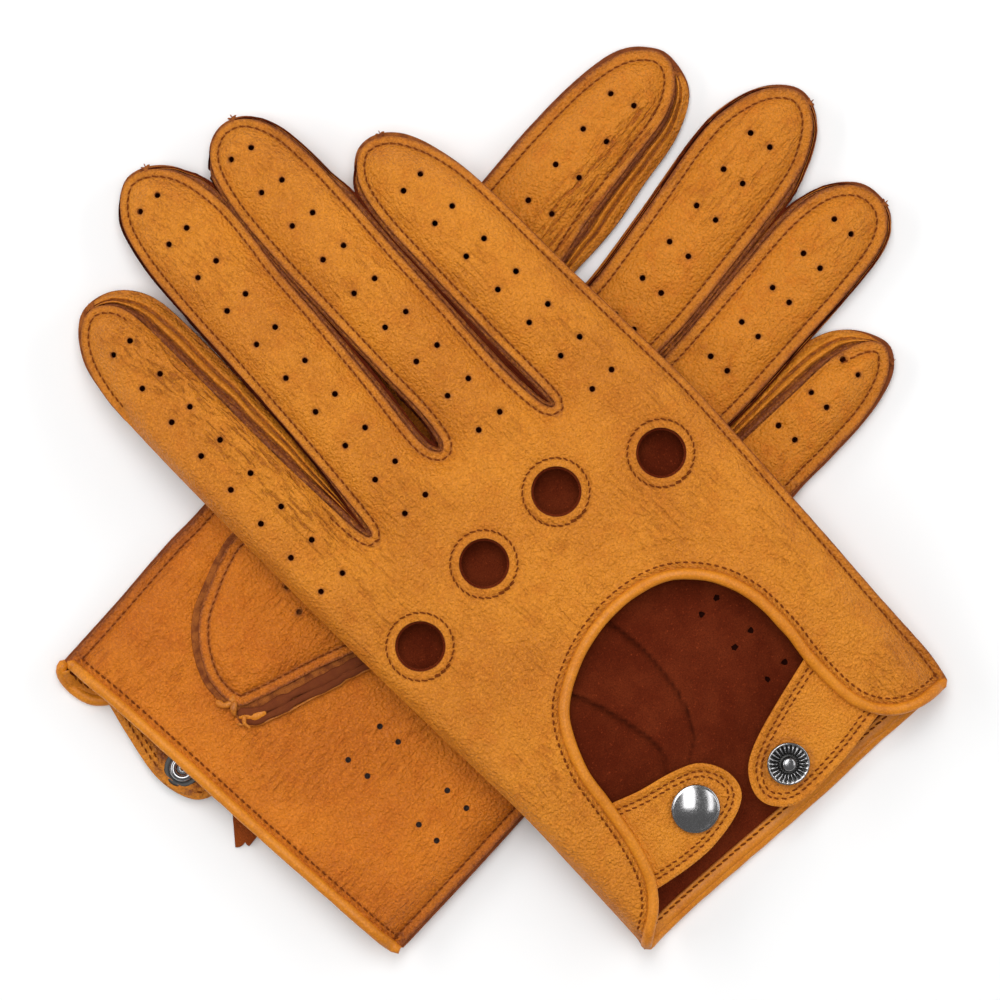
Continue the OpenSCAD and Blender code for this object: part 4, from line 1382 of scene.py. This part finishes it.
def snap_stud(strap):
    """A dished ring with pressed ribs round a tarnished recess, and in it a post with a rounded head."""
    centre, facing = strap.seat()
    sides = RIBS * 8
    a = np.linspace(0, 2 * np.pi, sides, endpoint=False)
    radii = np.array([r for r, _ in STUD])[:, None]
    wave = 0.4 * np.clip(1.5 - abs(radii - 3.6) / 0.9, 0, 1) * np.cos(RIBS * a)
    band, side = np.indices((len(STUD) - 1, sides)).reshape(2, -1)
    hollow = np.cos(RIBS * (a[side] + a[1] / 2)) < -0.35
    tarnished = hollow & (band >= STUD_RIBBED[0]) & (band < STUD_RIBBED[1])
    tarnished |= (band >= STUD_RECESS[0]) & (band < STUD_RECESS[1])
    build = Build()
    build.add(turned_form(STUD, centre, facing, sides, wave), lattice(len(STUD), sides)[:, ::-1],
              tarnished.astype(int))
    strap.lay_snap(build, "stud", [NICKEL, TARNISH_AND_SHADE])


SOCKET_RECESS = [(0.001, 0.3), (0.8, 0.25), (1.75, 0.2)]
SOCKET_CUP = [(1.75, 0.2), (1.8, 1.0), (2.0, 1.3), (2.35, 1.36), (2.75, 1.25), (3.1, 0.95), (3.35, 0.62)]
SOCKET_STEP = [(3.35, 0.62), (3.7, 0.5), (4.1, 0.52), (4.5, 0.46)]
SOCKET_FLANGE = [(4.5, 0.46), (4.78, 0.3), (4.85, 0.1), (4.8, -0.1)]


def snap_socket(strap):
    """The cup on the back of the cap, which takes the stud, with near-black metal all round its bright lip:
    tarnish in the recess, painted shade on the step and flange.
    """
    centre, facing = strap.seat()
    centre = centre - facing * (STRAP_T - 0.2)
    build = Build()
    for profile, slot in ((SOCKET_RECESS, 1), (SOCKET_CUP, 0), (SOCKET_STEP, 1), (SOCKET_FLANGE, 1)):
        lathe(build, profile, centre, -facing, slot=slot)
    strap.lay_snap(build, "socket", [NICKEL, TARNISH_AND_SHADE])


def straps(glove):
    if glove.hand == "right":
        cap = Strap(glove, "cap", CAP_STRAP, CAP_CENTRE, glove.high_straight, 1, "right_cap_strap")
        stud = Strap(glove, "stud", STUD_STRAP, STUD_CENTRE, glove.high_straight, 1, "right_stud_strap")
    else:       # face down on the surface
        cap = Strap(glove, "cap", LEFT_CAP_STRAP, LEFT_CAP_CENTRE, lambda y: 0 * y + LEFT_CAP_Z, -1, None)
        stud = Strap(glove, "stud", STUD_STRAP, STUD_CENTRE, lambda y: 0 * y + LEFT_STUD_Z, -1, None)
    cap.build()
    stud.build()
    snap_cap(cap)
    snap_socket(cap)
    snap_stud(stud)
    eyelet = frame["nodes"][f"{glove.hand}_snap_eyelet"]
    eyelet.data.materials.clear()
    eyelet.data.materials.append(EYELET_NICKEL_AND_SHADE)


TAB_OUTLINE = [(-2.5, 3.5), (0.4, 0.6), (3.4, -2.3), (8.2, -7), (9.0, -5.6), (8.9, -4.2), (9.6, -4.5),
               (10.4, -4.6), (10.2, 0), (10, 3.5)]


def leather_tab(glove):
    """The small notched tab under the lower glove's hem."""
    loop = resampled(np.array(TAB_OUTLINE + TAB_OUTLINE[:1]), 0.7)[:-1]
    xy, faces = filled([loop], 0.8, (0.5,))
    z = 1.15 + 0.25 * noise(xy[:, 0] / 4, xy[:, 1] / 4, 120)
    lay_sheet("left_leather_tab", glove, [TAB, TAB, EDGE], xy, faces, z, 1, 0.9, np.full(len(xy), 0.1),
              stands_for=["left_leather_tab"])


# ---------------------------------------------------------------- loose ends
TAILS = [(1.2, 0.7, 1.5), (1.0, -0.8, 0.9), (1.8, -0.2, 0.5)]       # how far out, which way, how wide


def finger_tails(panel):
    """The small curled ends of thread and fourchette at the tops of the fingers' seams."""
    for k, i in enumerate(panel.tips):
        start = panel.seam[i + 4]
        t, out = tangents(panel.seam)[i + 4], leftwards(panel.seam)[i + 4]
        build = Build()
        for j, (reach, lean, wide) in enumerate(TAILS):
            steps = ((-0.8, 0), (0.3 * reach, 0), (0.8 * reach, lean), (reach, 1.6 * lean))
            path = spline([start + a * out + b * t for a, b in steps], 0.25)
            z = panel.z(path[:1]) - panel.up * (0.45 + 0.2 * j)
            path = np.column_stack([path, np.repeat(z, len(path))])
            curled_end(build, path, wide, 0.8, 0.5, 0.3, 130 + k + j, 7)
        build.lay(f"{panel.glove.hand}_{FINGERS[k]}_tail", panel.glove, [EDGE], FINGERS[k])


# ---------------------------------------------------------------- the thumb's seams, seen inside the palm
THUMB_SEAMS = [[(-30, 76), (-24, 68), (-19, 61), (-15, 50), (-13, 38), (-14, 33), (-20, 25)],
               [(-6, 84), (-2, 75), (0.5, 66.5), (1.5, 55), (0, 42), (-4, 33), (-8, 29.5), (-16, 25)]]


def thumb_seam_ridges(xy):
    """Along the two seams of the thumb: how far the palm's suede face stands up, and how dark it is, with a
    dark line on each seam and painted shade on its low side.
    """
    shift, dark = np.zeros(len(xy)), np.zeros(len(xy))
    for points in THUMB_SEAMS:
        path = spline(points, 0.6)
        d, which = nearest(xy, path)
        side = -((xy - path[which]) * leftwards(path)[which]).sum(axis=1)
        fade = np.clip(np.minimum(which, len(path) - 1 - which) / 12, 0, 1)
        beyond = onset(side / 0.4)
        groove = 0.5 * bump((side - 0.7) / 0.6) * (d < 2)
        shift += fade * (1.2 * np.exp(-d / 3.2) * (1 - beyond) + 0.4 * bump(d / 0.9) - groove)
        # A dark line on the seam, and past it painted shade on the low side of the ridge.
        dark += fade * (0.6 * bump(d / 0.45) + 0.36 * np.exp(-d / 2.5) * beyond)
    return shift, dark


# ---------------------------------------------------------------- stage
VIEW_CENTRE = (2.65, 107.7)     # the middle of the picture, in the right glove's frame
VIEW_WIDTH = 250.0
CAMERA_HEIGHT = 1.3
PICTURE_UP = Vector((1, 1, 0)).normalized()
PICTURE_RIGHT = Vector((1, -1, 0)).normalized()
WORLD_LIGHT = 0.22
SENSOR = 36
GLOVES_H = 0.012         # the level that VIEW_WIDTH is measured at
FLOOR = [(-4, -4, 0), (4, -4, 0), (4, 4, 0), (-4, 4, 0)]
# Each softbox: how far to the picture's right, to its top and above the floor, its width, height and power.
LAMPS = [("top_softbox", -0.05, 0.3, 1.4, 0.8, 1.5, 17.0),
         ("left_softbox", -1.3, 0.25, 0.8, 0.4, 1.6, 7.5),
         ("right_softbox", 1.3, 0.2, 0.8, 0.4, 1.6, 6.5)]


def stage(glove):
    scene = bpy.context.scene
    camera = bpy.data.objects.new("camera", bpy.data.cameras.new("camera"))
    scene.collection.objects.link(camera)
    x, y, _ = glove.row([[*VIEW_CENTRE, 0]])[0]
    camera.location = (x, y, CAMERA_HEIGHT)
    camera.rotation_euler = (0, 0, math.radians(-45))
    camera.data.sensor_width = SENSOR
    camera.data.lens = SENSOR * (CAMERA_HEIGHT - GLOVES_H) / (VIEW_WIDTH * MM)
    camera.data.clip_start = 0.05
    scene.camera = camera
    scene.view_settings.view_transform = "Standard"
    floor_mat = Material("pale_floor", (0.93, 0.93, 0.93), 0.9, False, Specular_IOR_Level=0.1)
    mesh = bpy.data.meshes.new("floor")
    mesh.from_pydata(FLOOR, [], [(0, 1, 2, 3)])
    mesh.materials.append(floor_mat.mat)
    floor = bpy.data.objects.new("floor", mesh)
    scene.collection.objects.link(floor)
    world = bpy.data.worlds.new("studio")
    scene.world = world
    world.use_nodes = True
    background = world.node_tree.nodes["Background"]
    background.inputs[0].default_value = (1, 1, 1, 1)
    background.inputs[1].default_value = WORLD_LIGHT
    for name, across, up, high, wide, tall, power in LAMPS:
        place = across * PICTURE_RIGHT + up * PICTURE_UP + Vector((0, 0, high))
        lamp(name, place, wide, tall, power)


def lamp(name, place, wide, tall, power):
    """A softbox that faces the gloves, tall towards the top of the picture."""
    data = bpy.data.lights.new(name, "AREA")
    data.shape = "RECTANGLE"
    data.size, data.size_y = wide, tall
    data.energy = power
    obj = bpy.data.objects.new(name, data)
    bpy.context.scene.collection.objects.link(obj)
    obj.location = place
    z = place.normalized()
    x = PICTURE_UP.cross(z).normalized()
    obj.rotation_euler = Matrix((x, z.cross(x), z)).transposed().to_euler()


# ---------------------------------------------------------------- the pair
right, left = Glove("right"), Glove("left")
stage(right)
none, knuckles = np.empty((0, 2)), np.array(KNUCKLES)
back_holes, palm_pits = hole_places(RIGHT_BACK_HOLES), hole_places(RIGHT_PALM_HOLES)
finger_holes, heel_pits = hole_places(LEFT_PALM_HOLES[:4]), hole_places(LEFT_PALM_HOLES[4:])
right_back = Panel(right, "back", 1, RIGHT_BACK, RIGHT_OPENING, back_holes, none, knuckles, SHEET)
right_palm = Panel(right, "palm", -1, RIGHT_PALM, RIGHT_HEM, none, palm_pits, none, SHEET)
left_palm = Panel(left, "palm", 1, LEFT_PALM, LEFT_HEM, finger_holes, heel_pits, none,
                  [PALM_TAN, SUEDE, EDGE])
left_back = Panel(left, "back", -1, LEFT_BACK, LEFT_OPENING, back_holes, none, knuckles,
                  [TAN, SUEDE, WORN_EDGE])
for panel in (right_back, right_palm, left_palm, left_back):
    panel.build(thumb_seam_ridges if panel is right_palm else None)
    panel.sew()
for glove, back, palm in ((right, right_back, right_palm), (left, left_back, left_palm)):
    upper, lower = (back, palm) if back.up > 0 else (palm, back)
    fourchettes(glove, upper, lower)
    for panel, edge, stitched in ((back, "opening_binding", "opening"), (palm, "cuff_binding", "hem")):
        bound_edge(panel, edge)
        edge_stitches(panel, stitched)
    turned_hem(palm)
    if back.up < 0:
        turned_hem(back)
    knuckle_rings(back)
    thumb(palm)
    straps(glove)
    finger_tails(upper)
leather_tab(left)
